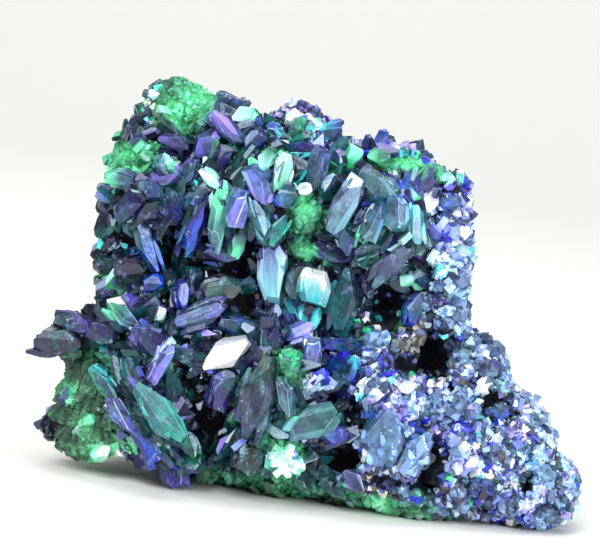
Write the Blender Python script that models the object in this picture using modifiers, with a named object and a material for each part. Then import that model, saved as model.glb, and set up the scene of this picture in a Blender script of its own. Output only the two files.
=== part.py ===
"""Azurite specimen: one solid of matrix rock with azurite blades, a druse and malachite lumps grown on it.

Units: the tables are in millimetres and the model is in metres. +Z is up, +X runs to the right along the
front, and the front faces -Y. The origin is the middle of the specimen's box, on the flat base.
"""

import math
import random
from typing import NamedTuple

import bmesh
import bpy
from mathutils import Matrix, Vector, noise
from mathutils.bvhtree import BVHTree

MM = 0.001

# ---------------------------------------------------------------- driving dimensions
NODE_NAME = "azurite_specimen"
VOXEL = 0.9  # grain of the rock's form
ROCK_SHARE = 0.055  # share of the form's facets kept
ROCK_GRAIN = 4.0  # size of the rock's bumps
ROCK_RELIEF = 0.7  # height of the rock's bumps
BASE_LEVEL = 0.0  # the flat base
BLADE_THICKNESS = 0.38  # of a blade's width
TRIANGLES = 9600  # of the finished solid
FLAT_ANGLE = 1.0  # faces that meet at less than this many degrees are one

# The front is laid out on an upright sheet, as seen from one viewing point.
SHEET_DEPTH = -9.0  # where the sheet stands, along Y
SHEET_MIDDLE = (-3.0, 24.8)  # the point of the sheet straight ahead of the eye
EYE_DISTANCE = 300.0
EYE_ELEVATION = 6.0  # degrees above the level

# The small crystals that fill in between the large ones, and cover the sides and the back.
FILLER_TRIES = 2600
FILLER_COUNT = 90
FILLER_SIZES = (1.5, 2.7)
FILLER_SPACING = 0.95  # of the two crystals' sizes
SEED = 3

# The surface.
AZURITE_COLOUR = (0.05, 0.08, 0.30)
AZURITE_ROUGHNESS = 0.3


class Lump(NamedTuple):
    """A rounded mass of rock: its middle and its three half-sizes."""

    x: float
    y: float
    z: float
    rx: float
    ry: float
    rz: float


LUMPS = [
    Lump(0, 2.5, 7, 22, 14, 9),  # the long foot
    Lump(12, 1, 5, 15, 13, 7),
    Lump(23.2, -1, 3.4, 6.8, 8.5, 4.5),  # the toe at the right
    Lump(20.8, -0.5, 7.8, 6.0, 9.5, 5.8),
    Lump(16.6, 0, 12.4, 4.9, 10, 6.8),
    Lump(-23, -4, 6.2, 4.8, 6.0, 5.6),  # the fibrous malachite lobe
    Lump(-27.3, -5.5, 4.2, 2.1, 2.4, 2.2),  # the black knob on it
    Lump(-25.0, -3, 14.6, 4.0, 4.6, 2.0),
    Lump(-27.0, -4, 13.2, 2.8, 3.6, 1.6),  # the left ledge
    Lump(-14, -7, 9.5, 7.5, 7.5, 8.0),  # the lower rosette
    Lump(-4, -8, 10, 7.5, 6.5, 8.5),
    Lump(6, -7, 9, 8.0, 6.5, 8.5),
    Lump(-12, 1.5, 19, 11, 10, 7),
    Lump(-19, -1, 16, 5, 7, 4.5),
    Lump(2, 2, 21, 12, 9.5, 11),
    Lump(12.6, 0, 22, 2.6, 9.5, 14),  # the right-hand wall
    Lump(-19.6, 0, 29.6, 6.2, 8.5, 5.6),  # the upper-left shoulder
    Lump(-21.5, 1, 23.5, 3.5, 6.5, 5.0),
    Lump(-8, 0, 31, 10, 10.0, 7.0),
    Lump(4, 0, 31.0, 8.5, 10.0, 6.5),
    Lump(-20.5, 0.5, 35.0, 4.2, 5.6, 3.6),  # the malachite knob
    Lump(-19.4, 0.5, 39.0, 3.4, 4.6, 3.5),
    Lump(-16.9, 0.5, 40.0, 2.6, 4.0, 2.8),
    Lump(-12.0, 1, 37.6, 4.0, 6.0, 3.6),
    Lump(-5.0, 1.5, 38.3, 3.8, 5.0, 3.6),  # the middle hump
    Lump(3.5, 1, 36.0, 6.6, 6.5, 3.0),
    Lump(10.3, 0, 33.8, 3.4, 7.5, 3.4),
]

HOLLOWS = [
    Lump(-15, -12, 22.8, 8.5, 8.5, 1.9),  # the cleft under the upper shoulder
    Lump(-21, -9, 25.0, 3.0, 5.5, 2.6),
    Lump(-8, -12, 19.8, 3.8, 8.0, 1.9),
    Lump(6.8, -10, 22.0, 3.2, 8.0, 2.6),  # the upper vug
    Lump(12.6, -8, 17.8, 2.1, 6.5, 2.6),  # the lower vug
    Lump(9.2, -9, 16.2, 1.8, 5.5, 1.2),
    Lump(3.6, -13, 5.9, 2.2, 5.0, 1.6),
    Lump(3.0, -13, 12.0, 1.7, 4.5, 1.4),
    Lump(-10.6, -15, 6.6, 2.2, 5.0, 3.2),
    Lump(13.8, -11, 5.6, 0.9, 4.5, 2.4),
    Lump(-13.4, -15, 12.6, 1.6, 4.5, 2.0),
]


class Blade(NamedTuple):
    """A crystal on the front: where it shows on the sheet, its size, and how it stands.

    lie turns its long axis from the sheet's X. turn rolls it about that axis, and rake tips its far end
    towards the eye, all in degrees. proud is how far its middle stands off the rock.
    """

    x: float
    height: float
    length: float
    width: float
    lie: float
    turn: float = 0
    rake: float = 0
    proud: float = 0.3


UPPER_LEFT = [
    Blade(-14.6, 39.3, 2.0, 1.3, 30, 20),
    Blade(-12.5, 38.5, 4.6, 1.5, -38, -25, 10),
    Blade(-14.4, 36.6, 3.3, 2.6, 50, 15, 15, 0.6),
    Blade(-16.1, 33.2, 3.5, 1.9, 65, -20, 10, 0.6),
    Blade(-18.4, 33.8, 3.3, 2.6, 20, 10, -15),
    Blade(-22.8, 31.9, 3.7, 1.8, 10, 25, 0, 0.5),
    Blade(-24.0, 29.8, 2.6, 1.9, -20, -20),
    Blade(-21.8, 28.8, 3.3, 2.0, 55, 30, 10, 0.5),
    Blade(-19.5, 25.4, 6.5, 1.9, -61, -20, -12, 1.6),
    Blade(-17.9, 36.4, 3.4, 1.4, -10, 20),
    Blade(-20.9, 34.6, 2.8, 1.4, -55, -15),
    Blade(-13.6, 33.0, 2.9, 1.4, -35, 10),
    Blade(-17.2, 29.6, 4.0, 1.5, -75, 25, 10, 0.6),
    Blade(-14.5, 28.4, 6.4, 1.7, 75, -25, 12, 1.0),
    Blade(-21.7, 36.0, 2.0, 1.5, 40),
    Blade(-23.8, 26.8, 3.2, 2.1, 80, -20),
    Blade(-12.6, 35.4, 2.7, 1.6, 70, 25),
    Blade(-19.6, 31.0, 3.2, 1.8, -20, -10),
    Blade(-23.6, 33.6, 2.6, 1.8, 15, 10),
]

UPPER_MIDDLE = [
    Blade(-12.8, 41.2, 2.8, 1.7, -20, 15),
    Blade(-10.9, 40.0, 2.7, 2.0, 30, -20),
    Blade(-9.4, 37.7, 2.8, 2.1, 60, 10),
    Blade(-7.6, 38.6, 2.2, 1.7, -30, 20),
    Blade(-5.2, 39.6, 2.4, 1.3, 70, -20),
    Blade(-1.8, 39.6, 2.7, 1.9, 20, 10),
    Blade(-0.1, 38.4, 2.4, 1.6, -30, -20),
    Blade(-7.9, 35.8, 2.7, 2.0, 80, -10, 0, 0.6),
    Blade(-6.1, 34.6, 4.3, 1.7, 85, 20, 10, 0.6),
    Blade(-8.6, 33.0, 4.5, 1.8, -58, 15, 0, 0.7),
    Blade(-10.3, 33.2, 3.3, 1.6, 80, -25),
    Blade(-12.2, 29.0, 6.2, 1.4, 88, 40, 10, 0.7),
    Blade(-10.3, 30.2, 4.2, 2.4, 80, -10, 12, 0.9),
    Blade(-9.9, 26.9, 3.4, 1.8, 80, 20),
    Blade(-11.5, 25.4, 3.6, 1.5, -5, 10, 0, 1.1),
    Blade(-7.9, 29.4, 4.3, 1.7, -60, -20, 0, 0.6),
    Blade(-5.5, 32.0, 2.6, 2.2, 30, 0, 10, 0.6),
    Blade(-3.7, 33.2, 2.0, 1.6, 20, 15),
    Blade(-2.7, 35.0, 4.9, 1.8, 75, -25, 10, 0.8),
    Blade(-1.0, 34.0, 2.4, 1.8, 60, 20),
    Blade(-3.0, 30.4, 4.3, 2.4, 70, 10, 0, 0.4),
    Blade(-2.7, 27.0, 2.8, 2.3, -40, -10, 0, 0.4),
    Blade(-5.9, 28.6, 3.6, 1.9, 70, 10),
    Blade(-4.0, 37.2, 3.0, 1.8, -20, 15),
]

UPPER_RIGHT = [
    Blade(0.8, 32.2, 6.5, 2.5, 67, -12, 14, 1.1),
    Blade(4.1, 34.7, 5.0, 2.1, -30, 20, 0, 0.7),
    Blade(6.2, 31.9, 3.9, 2.6, -75, 15, 0, 0.7),
    Blade(4.0, 30.9, 4.3, 1.8, 75, -25, 0, 0.6),
    Blade(1.5, 28.4, 3.1, 1.8, -70, 20, 0, 0.5),
    Blade(0.2, 26.9, 4.5, 1.9, -12, -15, 0, 0.9),
    Blade(3.8, 28.0, 3.1, 1.4, 28, 10),
    Blade(6.5, 26.8, 6.6, 2.4, 57, 15, 12, 1.2),
    Blade(8.4, 31.0, 4.2, 1.8, -75, -20),
    Blade(7.2, 34.2, 3.1, 1.6, -45, 10),
    Blade(9.7, 33.8, 2.6, 1.8, 80, 10),
    Blade(11.9, 33.8, 2.2, 1.7, 30, -10),
    Blade(1.0, 37.0, 2.8, 1.8, 70, 20),
    Blade(3.7, 37.6, 2.5, 1.8, 10, -10),
    Blade(7.1, 36.9, 5.0, 1.8, 14, 25),
    Blade(10.6, 36.4, 2.8, 1.6, -20, 10),
    Blade(10.6, 30.8, 2.4, 1.9, 60, 20),
    Blade(13.0, 31.0, 2.4, 1.9, -20, -20),
    Blade(11.3, 28.0, 2.3, 1.8, 20, 10),
    Blade(9.6, 25.5, 3.2, 1.8, 5, 0, 0, 0.6),
    Blade(13.6, 26.0, 2.4, 1.8, 60, -20),
    Blade(14.0, 22.6, 2.4, 1.8, 100, -10),
]

CENTRE = [
    Blade(-5.8, 24.0, 7.7, 2.8, 104, -14, 6, 1.4),
    Blade(-3.3, 23.4, 3.5, 2.0, 85, 10, 0, 1.0),
    Blade(-1.0, 23.2, 3.6, 3.2, 80, 12, -8, 1.3),
    Blade(2.0, 22.0, 7.3, 2.9, 90, -10, 0, 0.8),
    Blade(-10.8, 21.8, 3.8, 2.7, 20, 15, 0, 0.9),
    Blade(-13.9, 22.2, 2.8, 1.7, 85, 30, 0, 0.5),
    Blade(-5.0, 19.6, 2.9, 1.6, 100, 20),
    Blade(-2.3, 18.2, 3.6, 2.1, 35, -15, 0, 0.5),
    Blade(-0.5, 16.3, 3.3, 1.9, 85, 15),
    Blade(-2.9, 15.0, 2.9, 2.5, 30, 0, 0, 0.4),
    Blade(2.1, 17.4, 3.4, 1.5, 8, 10),
    Blade(3.6, 15.2, 2.6, 1.8, 80, -20),
    Blade(9.5, 22.2, 3.7, 2.2, 80, 15, 0, 0.6),
    Blade(6.0, 18.4, 2.9, 2.1, 30, 10),
    Blade(8.6, 18.9, 3.2, 2.4, 20, -10),
    Blade(-4.6, 17.0, 2.9, 1.6, 85, -20),
]

LOWER_LEFT = [
    Blade(-22.9, 20.2, 2.6, 2.2, 45, 10),
    Blade(-18.1, 21.4, 2.3, 1.8, 10, -20, 0, 0.6),
    Blade(-15.0, 20.6, 3.3, 1.7, 100, 25),
    Blade(-12.6, 18.7, 5.8, 2.7, 31, -10, 0, 0.7),
    Blade(-8.9, 17.9, 3.6, 2.2, -20, 15, 0, 0.5),
    Blade(-9.6, 15.0, 5.4, 3.1, 39, 0, 6, 1.0),
    Blade(-17.6, 15.2, 4.8, 2.0, -32, 20, 0, 0.6),
    Blade(-22.6, 15.5, 3.2, 2.5, -20, 0, 0, 0.4),
    Blade(-20.8, 17.6, 3.8, 1.7, -30, -20),
    Blade(-27.3, 13.9, 5.0, 2.7, 8, 10, 0, 0.0),
    Blade(-25.8, 16.2, 4.2, 2.0, -12, -20, 0, 0.0),
    Blade(-21.6, 13.2, 2.7, 1.9, -30, 15),
    Blade(-19.3, 11.8, 3.0, 1.9, -60, -15),
    Blade(-16.1, 13.1, 4.6, 1.6, 70, 20, 14, 1.0),
    Blade(-21.6, 10.0, 5.2, 1.8, -44, 20, 0, 0.8),
    Blade(-19.2, 7.0, 4.6, 1.8, -47, -20, 0, 0.8),
    Blade(-16.3, 4.2, 3.7, 1.8, -50, 15, 0, 0.6),
    Blade(-15.6, 8.0, 7.5, 2.8, -41, -12, 10, 1.0),
    Blade(-12.2, 5.2, 3.2, 1.7, -55, 10, 0, 0.6),
    Blade(-9.5, 11.2, 4.3, 2.4, 75, 20, 0, 0.6),
    Blade(-5.7, 11.0, 8.7, 3.5, 82, -8, 4, 1.1),
    Blade(-13.6, 2.3, 4.0, 3.0, 110, 10, 0, 0.4),
    Blade(-17.3, 1.8, 3.0, 2.0, 90, -10, 0, 0.2),
    Blade(-27.6, 9.7, 2.4, 1.7, 70, 0, 0, 0.0),
    Blade(-23.4, 22.6, 2.6, 2.1, 10, 0, 0, 0.2),
    Blade(-20.7, 22.6, 3.4, 2.2, 20, 10, 0, 0.4),
]

LOWER_MIDDLE = [
    Blade(0.3, 9.0, 5.8, 3.3, 40, 10, 0, 0.8),
    Blade(2.9, 8.0, 2.6, 1.9, 5, -10, 0, 0.4),
    Blade(-1.8, 4.7, 4.0, 3.0, -45, 0, 0, 0.5),
    Blade(-2.8, 11.4, 4.3, 1.7, -65, 20, 0, 0.5),
    Blade(0.4, 13.4, 3.6, 2.4, 10, 10, 0, 0.4),
    Blade(-5.6, 4.6, 3.4, 2.8, 60, 0, 0, 0.2),
    Blade(5.6, 3.6, 2.9, 1.9, -40, 15, 0, 0.3),
    Blade(8.0, 2.2, 2.6, 1.7, 10, 0, 0, 0.2),
    Blade(-9.6, 2.4, 2.8, 1.8, 20, 10, 0, 0.2),
]

RIGHT_SIDE = [
    Blade(7.9, 8.5, 5.9, 3.8, 85, 10, 6, 0.8),
    Blade(11.7, 7.2, 5.2, 2.3, 65, -15, 0, 0.7),
    Blade(12.4, 13.4, 2.6, 2.0, 10, 15),
    Blade(9.6, 13.6, 2.6, 1.9, 20, 0, 0, 0.5),
    Blade(6.6, 13.2, 2.9, 2.2, 50, -15, 0, 0.4),
    Blade(15.0, 12.4, 2.4, 1.8, 60, 20),
    Blade(15.9, 9.8, 2.9, 2.2, 30, -10),
    Blade(16.2, 6.9, 2.6, 2.0, 70, 10),
    Blade(18.9, 4.6, 2.8, 2.2, 10, 20),
    Blade(20.4, 8.0, 2.8, 2.2, -40, 15),
    Blade(22.6, 3.0, 2.8, 2.0, 0, -10),
    Blade(26.0, 2.6, 2.6, 1.9, 30, 20),
    Blade(23.0, 10.6, 2.6, 2.0, -40, -10),
    Blade(19.6, 13.0, 2.7, 2.1, 20, 10),
    Blade(17.6, 17.0, 2.6, 1.9, -30, -20),
    Blade(25.2, 6.8, 2.6, 2.0, -50, 10),
    Blade(15.0, 17.6, 2.6, 1.9, 60, 15),
    Blade(27.8, 3.6, 2.6, 2.0, -60, 0, 0, 0.0),
    Blade(12.6, 3.0, 2.6, 1.9, 20, 10),
]

BLADES = (
    UPPER_LEFT
    + UPPER_MIDDLE
    + UPPER_RIGHT
    + CENTRE
    + LOWER_LEFT
    + LOWER_MIDDLE
    + RIGHT_SIDE
)

# The cuts that shape a crystal out of a block two units on a side, each a direction and how far out the
# cut lies. The long axis is X, the broad faces look along Z.
POINTED = [
    ((0.75, 0.66, 0.10), 0.93),
    ((0.70, -0.71, -0.06), 0.86),
    ((-0.82, 0.57, -0.08), 0.95),
    ((-0.66, -0.75, 0.10), 0.90),
    ((0.10, 0.62, 0.78), 1.02),
]
CHISEL = [
    ((0.88, 0.30, 0.38), 0.96),
    ((0.60, -0.80, 0.05), 0.93),
    ((-0.55, 0.82, 0.18), 0.95),
    ((-0.10, -0.68, 0.72), 1.02),
]
LENS = [
    ((0.62, 0.78, 0.08), 0.84),
    ((0.62, -0.78, 0.08), 0.84),
    ((-0.62, 0.78, 0.08), 0.84),
    ((-0.62, -0.78, 0.08), 0.84),
]
HABITS = [POINTED, CHISEL, LENS]


def from_sheet(x, height):
    """The point of the layout sheet at x and height, in millimetres."""
    lean = math.radians(EYE_ELEVATION)
    middle = Vector((0, SHEET_DEPTH, SHEET_MIDDLE[1]))
    up = Vector((0, math.sin(lean), math.cos(lean)))
    return middle + Vector((x, 0, 0)) + up * (height - SHEET_MIDDLE[1])


def eye():
    """The viewing point, in millimetres."""
    lean = math.radians(EYE_ELEVATION)
    ahead = Vector((0, math.cos(lean), -math.sin(lean)))
    return from_sheet(*SHEET_MIDDLE) - ahead * EYE_DISTANCE


def add_object(name, bm, collection):
    """Links a new object holding what bm holds to collection."""
    mesh = bpy.data.meshes.new(name)
    bm.to_mesh(mesh)
    bm.free()
    obj = bpy.data.objects.new(name, mesh)
    collection.objects.link(obj)
    return obj


def lumps_form(lumps):
    """Overlapping rounded masses."""
    bm = bmesh.new()
    for lump in lumps:
        place = Matrix.LocRotScale(
            Vector((lump.x, lump.y, lump.z)) * MM,
            None,
            Vector((lump.rx, lump.ry, lump.rz)) * MM,
        )
        bmesh.ops.create_icosphere(bm, subdivisions=3, radius=1, matrix=place)
    return bm


def add_remesh(obj):
    """Fuses an object's overlapping masses into one skin of even quads."""
    modifier = obj.modifiers.new("fuse", "REMESH")
    modifier.mode = "VOXEL"
    modifier.voxel_size = VOXEL * MM


def add_boolean(obj, other, operation):
    """Cuts other from obj, or joins it on."""
    modifier = obj.modifiers.new(other.name, "BOOLEAN")
    modifier.operation = operation
    modifier.object = other
    modifier.solver = "EXACT"
    modifier.use_self = operation == "UNION"


def take_modifiers(obj):
    """Replaces an object's mesh by what its modifiers make of it."""
    bpy.context.view_layer.update()
    graph = bpy.context.evaluated_depsgraph_get()
    mesh = bpy.data.meshes.new_from_object(obj.evaluated_get(graph))
    obj.modifiers.clear()
    obj.data = mesh


def hide(obj):
    """Marks an object as a helper that isn't part of the specimen."""
    obj.hide_render = True
    obj.display_type = "WIRE"


def roughen(obj):
    """Pushes the rock's skin in and out by a seeded noise."""
    for vertex in obj.data.vertices:
        point = vertex.co / (ROCK_GRAIN * MM)
        height = noise.noise(point) + 0.5 * noise.noise(point * 2.1)
        vertex.co += vertex.normal * height * ROCK_RELIEF * MM


def make_rock(parts, cutters):
    """The bare rock: its masses fused, less its hollows, roughened and put into facets."""
    rock = add_object(NODE_NAME, lumps_form(LUMPS), parts)
    hollows = add_object("hollows", lumps_form(HOLLOWS), cutters)
    hide(hollows)
    add_remesh(hollows)
    take_modifiers(hollows)
    add_remesh(rock)
    add_boolean(rock, hollows, "DIFFERENCE")
    add_remesh(rock)
    take_modifiers(rock)
    roughen(rock)
    facets = rock.modifiers.new("facets", "DECIMATE")
    facets.ratio = ROCK_SHARE
    take_modifiers(rock)
    return rock


def crystal_form(size, habit):
    """A crystal of the given length, width and thickness about its own middle."""
    bm = bmesh.new()
    bmesh.ops.create_cube(bm, size=2)
    for direction, distance in habit:
        normal = Vector(direction).normalized()
        geometry = bm.verts[:] + bm.edges[:] + bm.faces[:]
        bmesh.ops.bisect_plane(
            bm, geom=geometry, plane_co=normal * distance, plane_no=normal, clear_outer=True
        )
        rim = [edge for edge in bm.edges if edge.is_boundary]
        bmesh.ops.edgeloop_fill(bm, edges=rim)
    bmesh.ops.scale(bm, vec=Vector(size) * 0.5, verts=bm.verts)
    return bm


def add_crystal(forms, bm, place):
    """Adds the crystal bm, moved to place, to the joined forms."""
    bmesh.ops.scale(bm, vec=Vector((MM, MM, MM)), verts=bm.verts)
    bmesh.ops.transform(bm, matrix=place, verts=bm.verts)
    mesh = bpy.data.meshes.new("crystal")
    bm.to_mesh(mesh)
    bm.free()
    forms.from_mesh(mesh)
    bpy.data.meshes.remove(mesh)


def blade_place(blade, tree):
    """Where a blade stands: on the rock's skin, behind its place on the sheet."""
    start = eye()
    ahead = (from_sheet(blade.x, blade.height) - start).normalized()
    skin = tree.ray_cast(start * MM, ahead)[0]
    if skin is None:
        skin = tree.find_nearest(from_sheet(blade.x, blade.height) * MM)[0]
    middle = skin - ahead * blade.proud * MM
    facing = Vector((1, 0, 0)).cross(ahead)
    axes = Matrix((Vector((1, 0, 0)), facing, -ahead)).transposed()
    turned = (
        axes
        @ Matrix.Rotation(math.radians(blade.lie), 3, "Z")
        @ Matrix.Rotation(math.radians(-blade.rake), 3, "Y")
        @ Matrix.Rotation(math.radians(blade.turn), 3, "X")
    )
    return Matrix.LocRotScale(middle, turned, None)


def add_blades(forms, tree):
    """Adds the large crystals of the front, and gives their middles and sizes."""
    taken = []
    for index, blade in enumerate(BLADES):
        place = blade_place(blade, tree)
        size = (blade.length, blade.width, max(blade.width * BLADE_THICKNESS, 0.7) * 2)
        add_crystal(forms, crystal_form(size, HABITS[index % len(HABITS)]), place)
        taken.append((place.translation.copy(), blade.width * 0.5 + blade.length * 0.2))
    return taken


def surface_points(obj, rng):
    """Seeded points spread over an object's skin by area, each with its normal."""
    polygons = obj.data.polygons
    corners = obj.data.vertices
    weights = [polygon.area for polygon in polygons]
    for polygon in rng.choices(polygons, weights, k=FILLER_TRIES):
        shares = [rng.random() + 0.1 for corner in polygon.vertices]
        total = sum(shares)
        point = Vector()
        for share, corner in zip(shares, polygon.vertices):
            point += corners[corner].co * (share / total)
        yield point, polygon.normal.copy()


def is_clear(point, size, taken):
    """Whether a crystal of that size has room at point."""
    return all(
        (point - other).length > (size + reach) * 0.5 * FILLER_SPACING * MM for other, reach in taken
    )


def add_fillers(forms, rock, taken, rng):
    """Adds the small crystals, wherever the larger ones leave room."""
    count = 0
    for point, normal in surface_points(rock, rng):
        size = rng.uniform(*FILLER_SIZES)
        low = point.z < 0.8 * MM or normal.z < -0.75
        if count == FILLER_COUNT or low or not is_clear(point, size, taken):
            continue
        across = normal.orthogonal().normalized()
        axes = Matrix((across, normal.cross(across), normal)).transposed()
        axes = axes @ Matrix.Rotation(rng.uniform(0, math.tau), 3, "Z")
        axes = axes @ Matrix.Rotation(rng.uniform(-0.5, 0.5), 3, "Y")
        axes = axes @ Matrix.Rotation(rng.uniform(-0.5, 0.5), 3, "X")
        extent = (size * 1.25, size * rng.uniform(0.7, 0.95), size * rng.uniform(0.7, 1.0))
        place = Matrix.LocRotScale(point, axes, None)
        add_crystal(forms, crystal_form(extent, HABITS[count % len(HABITS)]), place)
        taken.append((point, size))
        count += 1


def make_crystals(rock, cutters):
    """All the crystals, as one helper object of overlapping closed bodies."""
    tree = BVHTree.FromPolygons(
        [vertex.co for vertex in rock.data.vertices],
        [tuple(polygon.vertices) for polygon in rock.data.polygons],
    )
    forms = bmesh.new()
    taken = add_blades(forms, tree)
    add_fillers(forms, rock, taken, random.Random(SEED))
    crystals = add_object("crystals", forms, cutters)
    hide(crystals)
    return crystals


def cut_base(bm):
    """Cuts the specimen flat at its base and closes the cut."""
    geometry = bm.verts[:] + bm.edges[:] + bm.faces[:]
    bmesh.ops.bisect_plane(
        bm,
        geom=geometry,
        plane_co=(0, 0, BASE_LEVEL * MM),
        plane_no=(0, 0, -1),
        clear_outer=True,
    )
    rim = [edge for edge in bm.edges if edge.is_boundary]
    bmesh.ops.holes_fill(bm, edges=rim)


def islands(bm):
    """The separate pieces of a mesh, as lists of faces."""
    left = set(bm.faces)
    while left:
        first = left.pop()
        island = [first]
        front = [first]
        while front:
            face = front.pop()
            for edge in face.edges:
                for other in edge.link_faces:
                    if other in left:
                        left.remove(other)
                        island.append(other)
                        front.append(other)
        yield island


def keep_largest(bm):
    """Removes every piece but the largest."""
    pieces = sorted(islands(bm), key=len)
    loose = [face for piece in pieces[:-1] for face in piece]
    bmesh.ops.delete(bm, geom=loose, context="FACES")


def join_flat_faces(obj):
    """Joins the faces that lie in one plane, drops what is loose, and cuts all faces into triangles."""
    bm = bmesh.new()
    bm.from_mesh(obj.data)
    keep_largest(bm)
    bmesh.ops.dissolve_limit(
        bm, angle_limit=math.radians(FLAT_ANGLE), verts=bm.verts, edges=bm.edges
    )
    bmesh.ops.triangulate(bm, faces=bm.faces)
    bm.to_mesh(obj.data)
    bm.free()


def finish_base(obj):
    """Cuts the base flat."""
    bm = bmesh.new()
    bm.from_mesh(obj.data)
    cut_base(bm)
    keep_largest(bm)
    bmesh.ops.triangulate(bm, faces=bm.faces)
    bm.to_mesh(obj.data)
    bm.free()


def tidy(obj):
    """Takes out the smallest slivers and finishes the base."""
    join_flat_faces(obj)
    slivers = obj.modifiers.new("slivers", "DECIMATE")
    slivers.ratio = TRIANGLES / len(obj.data.polygons)
    take_modifiers(obj)
    finish_base(obj)


def make_material(name, colour, roughness):
    """A material of one colour."""
    material = bpy.data.materials.new(name)
    material.use_nodes = True
    shader = material.node_tree.nodes["Principled BSDF"]
    shader.inputs["Base Color"].default_value = (*colour, 1.0)
    shader.inputs["Roughness"].default_value = roughness
    return material


def main():
    """Builds the specimen."""
    for obj in list(bpy.data.objects):
        bpy.data.objects.remove(obj)
    parts = bpy.data.collections.new("azurite_specimen")
    cutters = bpy.data.collections.new("cutters")
    bpy.context.scene.collection.children.link(parts)
    bpy.context.scene.collection.children.link(cutters)
    rock = make_rock(parts, cutters)
    crystals = make_crystals(rock, cutters)
    add_boolean(rock, crystals, "UNION")
    take_modifiers(rock)
    tidy(rock)
    rock.data.materials.clear()
    rock.data.materials.append(make_material("azurite", AZURITE_COLOUR, AZURITE_ROUGHNESS))


main()
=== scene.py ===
"""Azurite specimen: glassy blades, a sparkling druse and green malachite, grown on brown matrix rock.

Tables are in millimetres and the scene is in metres. +Z is up, +X runs to the right along the front, and
the front faces -Y. The rock stands on its flat base at Z 0.
"""

import logging
import math
from dataclasses import dataclass, field
from enum import Enum
from typing import Any, Iterable, Optional, Sequence, Union

import bmesh
import bpy
import numpy as np
from mathutils import Matrix, Quaternion, Vector, noise
from mathutils.bvhtree import BVHTree
from mathutils.kdtree import KDTree


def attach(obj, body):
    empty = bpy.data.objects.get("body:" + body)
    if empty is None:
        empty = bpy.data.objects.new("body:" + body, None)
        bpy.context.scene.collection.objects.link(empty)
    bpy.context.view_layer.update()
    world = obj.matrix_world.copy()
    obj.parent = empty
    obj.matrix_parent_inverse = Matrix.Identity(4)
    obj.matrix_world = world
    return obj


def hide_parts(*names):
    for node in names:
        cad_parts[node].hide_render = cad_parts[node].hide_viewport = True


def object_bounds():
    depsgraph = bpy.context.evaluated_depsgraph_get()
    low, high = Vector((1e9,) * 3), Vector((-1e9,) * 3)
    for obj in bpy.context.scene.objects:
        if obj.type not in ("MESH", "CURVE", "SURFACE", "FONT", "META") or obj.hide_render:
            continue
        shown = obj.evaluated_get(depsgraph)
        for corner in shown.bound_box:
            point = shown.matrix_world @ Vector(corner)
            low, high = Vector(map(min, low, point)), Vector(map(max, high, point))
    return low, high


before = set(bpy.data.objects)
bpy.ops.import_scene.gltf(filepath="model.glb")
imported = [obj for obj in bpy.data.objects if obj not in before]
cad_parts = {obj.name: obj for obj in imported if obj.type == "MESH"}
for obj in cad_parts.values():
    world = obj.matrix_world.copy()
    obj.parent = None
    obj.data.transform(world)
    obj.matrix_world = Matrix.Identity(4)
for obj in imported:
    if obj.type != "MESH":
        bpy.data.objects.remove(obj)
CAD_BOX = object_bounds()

MM = 0.001
NODE = "azurite_specimen"
BODY = "root"
# The least height of any crystal over the ground.
GROUND_GAP = 0.02
# The Y behind which the front's openings and pale patches have no effect.
FRONT_END = 4.0
log = logging.getLogger("specimen")

Colour = tuple[float, float, float]
Place = tuple[float, float, float]


class Hue(Enum):
    """The tints of the specimen's crystals, as linear red, green and blue. The white and icy tints are
    painted glints and reflections: pale faces that stand in for facets catching the light. Lilac,
    orchid, aqua and cyan are partly the crystals' own colour and partly painted reflection.
    """

    INK = (0.008, 0.010, 0.022)
    INDIGO = (0.023, 0.026, 0.125)
    VIOLET = (0.064, 0.060, 0.235)
    PURPLE = (0.085, 0.075, 0.175)
    LILAC = (0.260, 0.215, 0.540)
    ORCHID = (0.420, 0.320, 0.820)
    PERIWINKLE = (0.230, 0.270, 0.700)
    ULTRA = (0.020, 0.015, 0.560)
    BLUE = (0.020, 0.090, 0.550)
    STEEL = (0.150, 0.215, 0.350)
    POWDER = (0.165, 0.275, 0.490)
    SLATE = (0.085, 0.120, 0.185)
    TEAL = (0.012, 0.160, 0.180)
    GREY_TEAL = (0.170, 0.320, 0.350)
    ASH = (0.270, 0.340, 0.430)
    MIST = (0.200, 0.420, 0.430)
    CYAN = (0.130, 0.620, 0.660)
    SEA = (0.070, 0.400, 0.310)
    PINE = (0.012, 0.075, 0.050)
    GREEN = (0.020, 0.260, 0.110)
    MINT = (0.250, 0.780, 0.480)
    AQUA = (0.420, 0.870, 0.920)
    # The next two tints are painted glints: pale faces that stand in for light caught on a facet.
    ICE = (0.620, 0.900, 0.930)
    WHITE = (0.930, 0.960, 1.000)
    CREAM = (0.600, 0.560, 0.440)
    MOSS = (0.130, 0.190, 0.130)
    UMBER = (0.045, 0.032, 0.026)
    BRONZE = (0.110, 0.085, 0.060)


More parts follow.
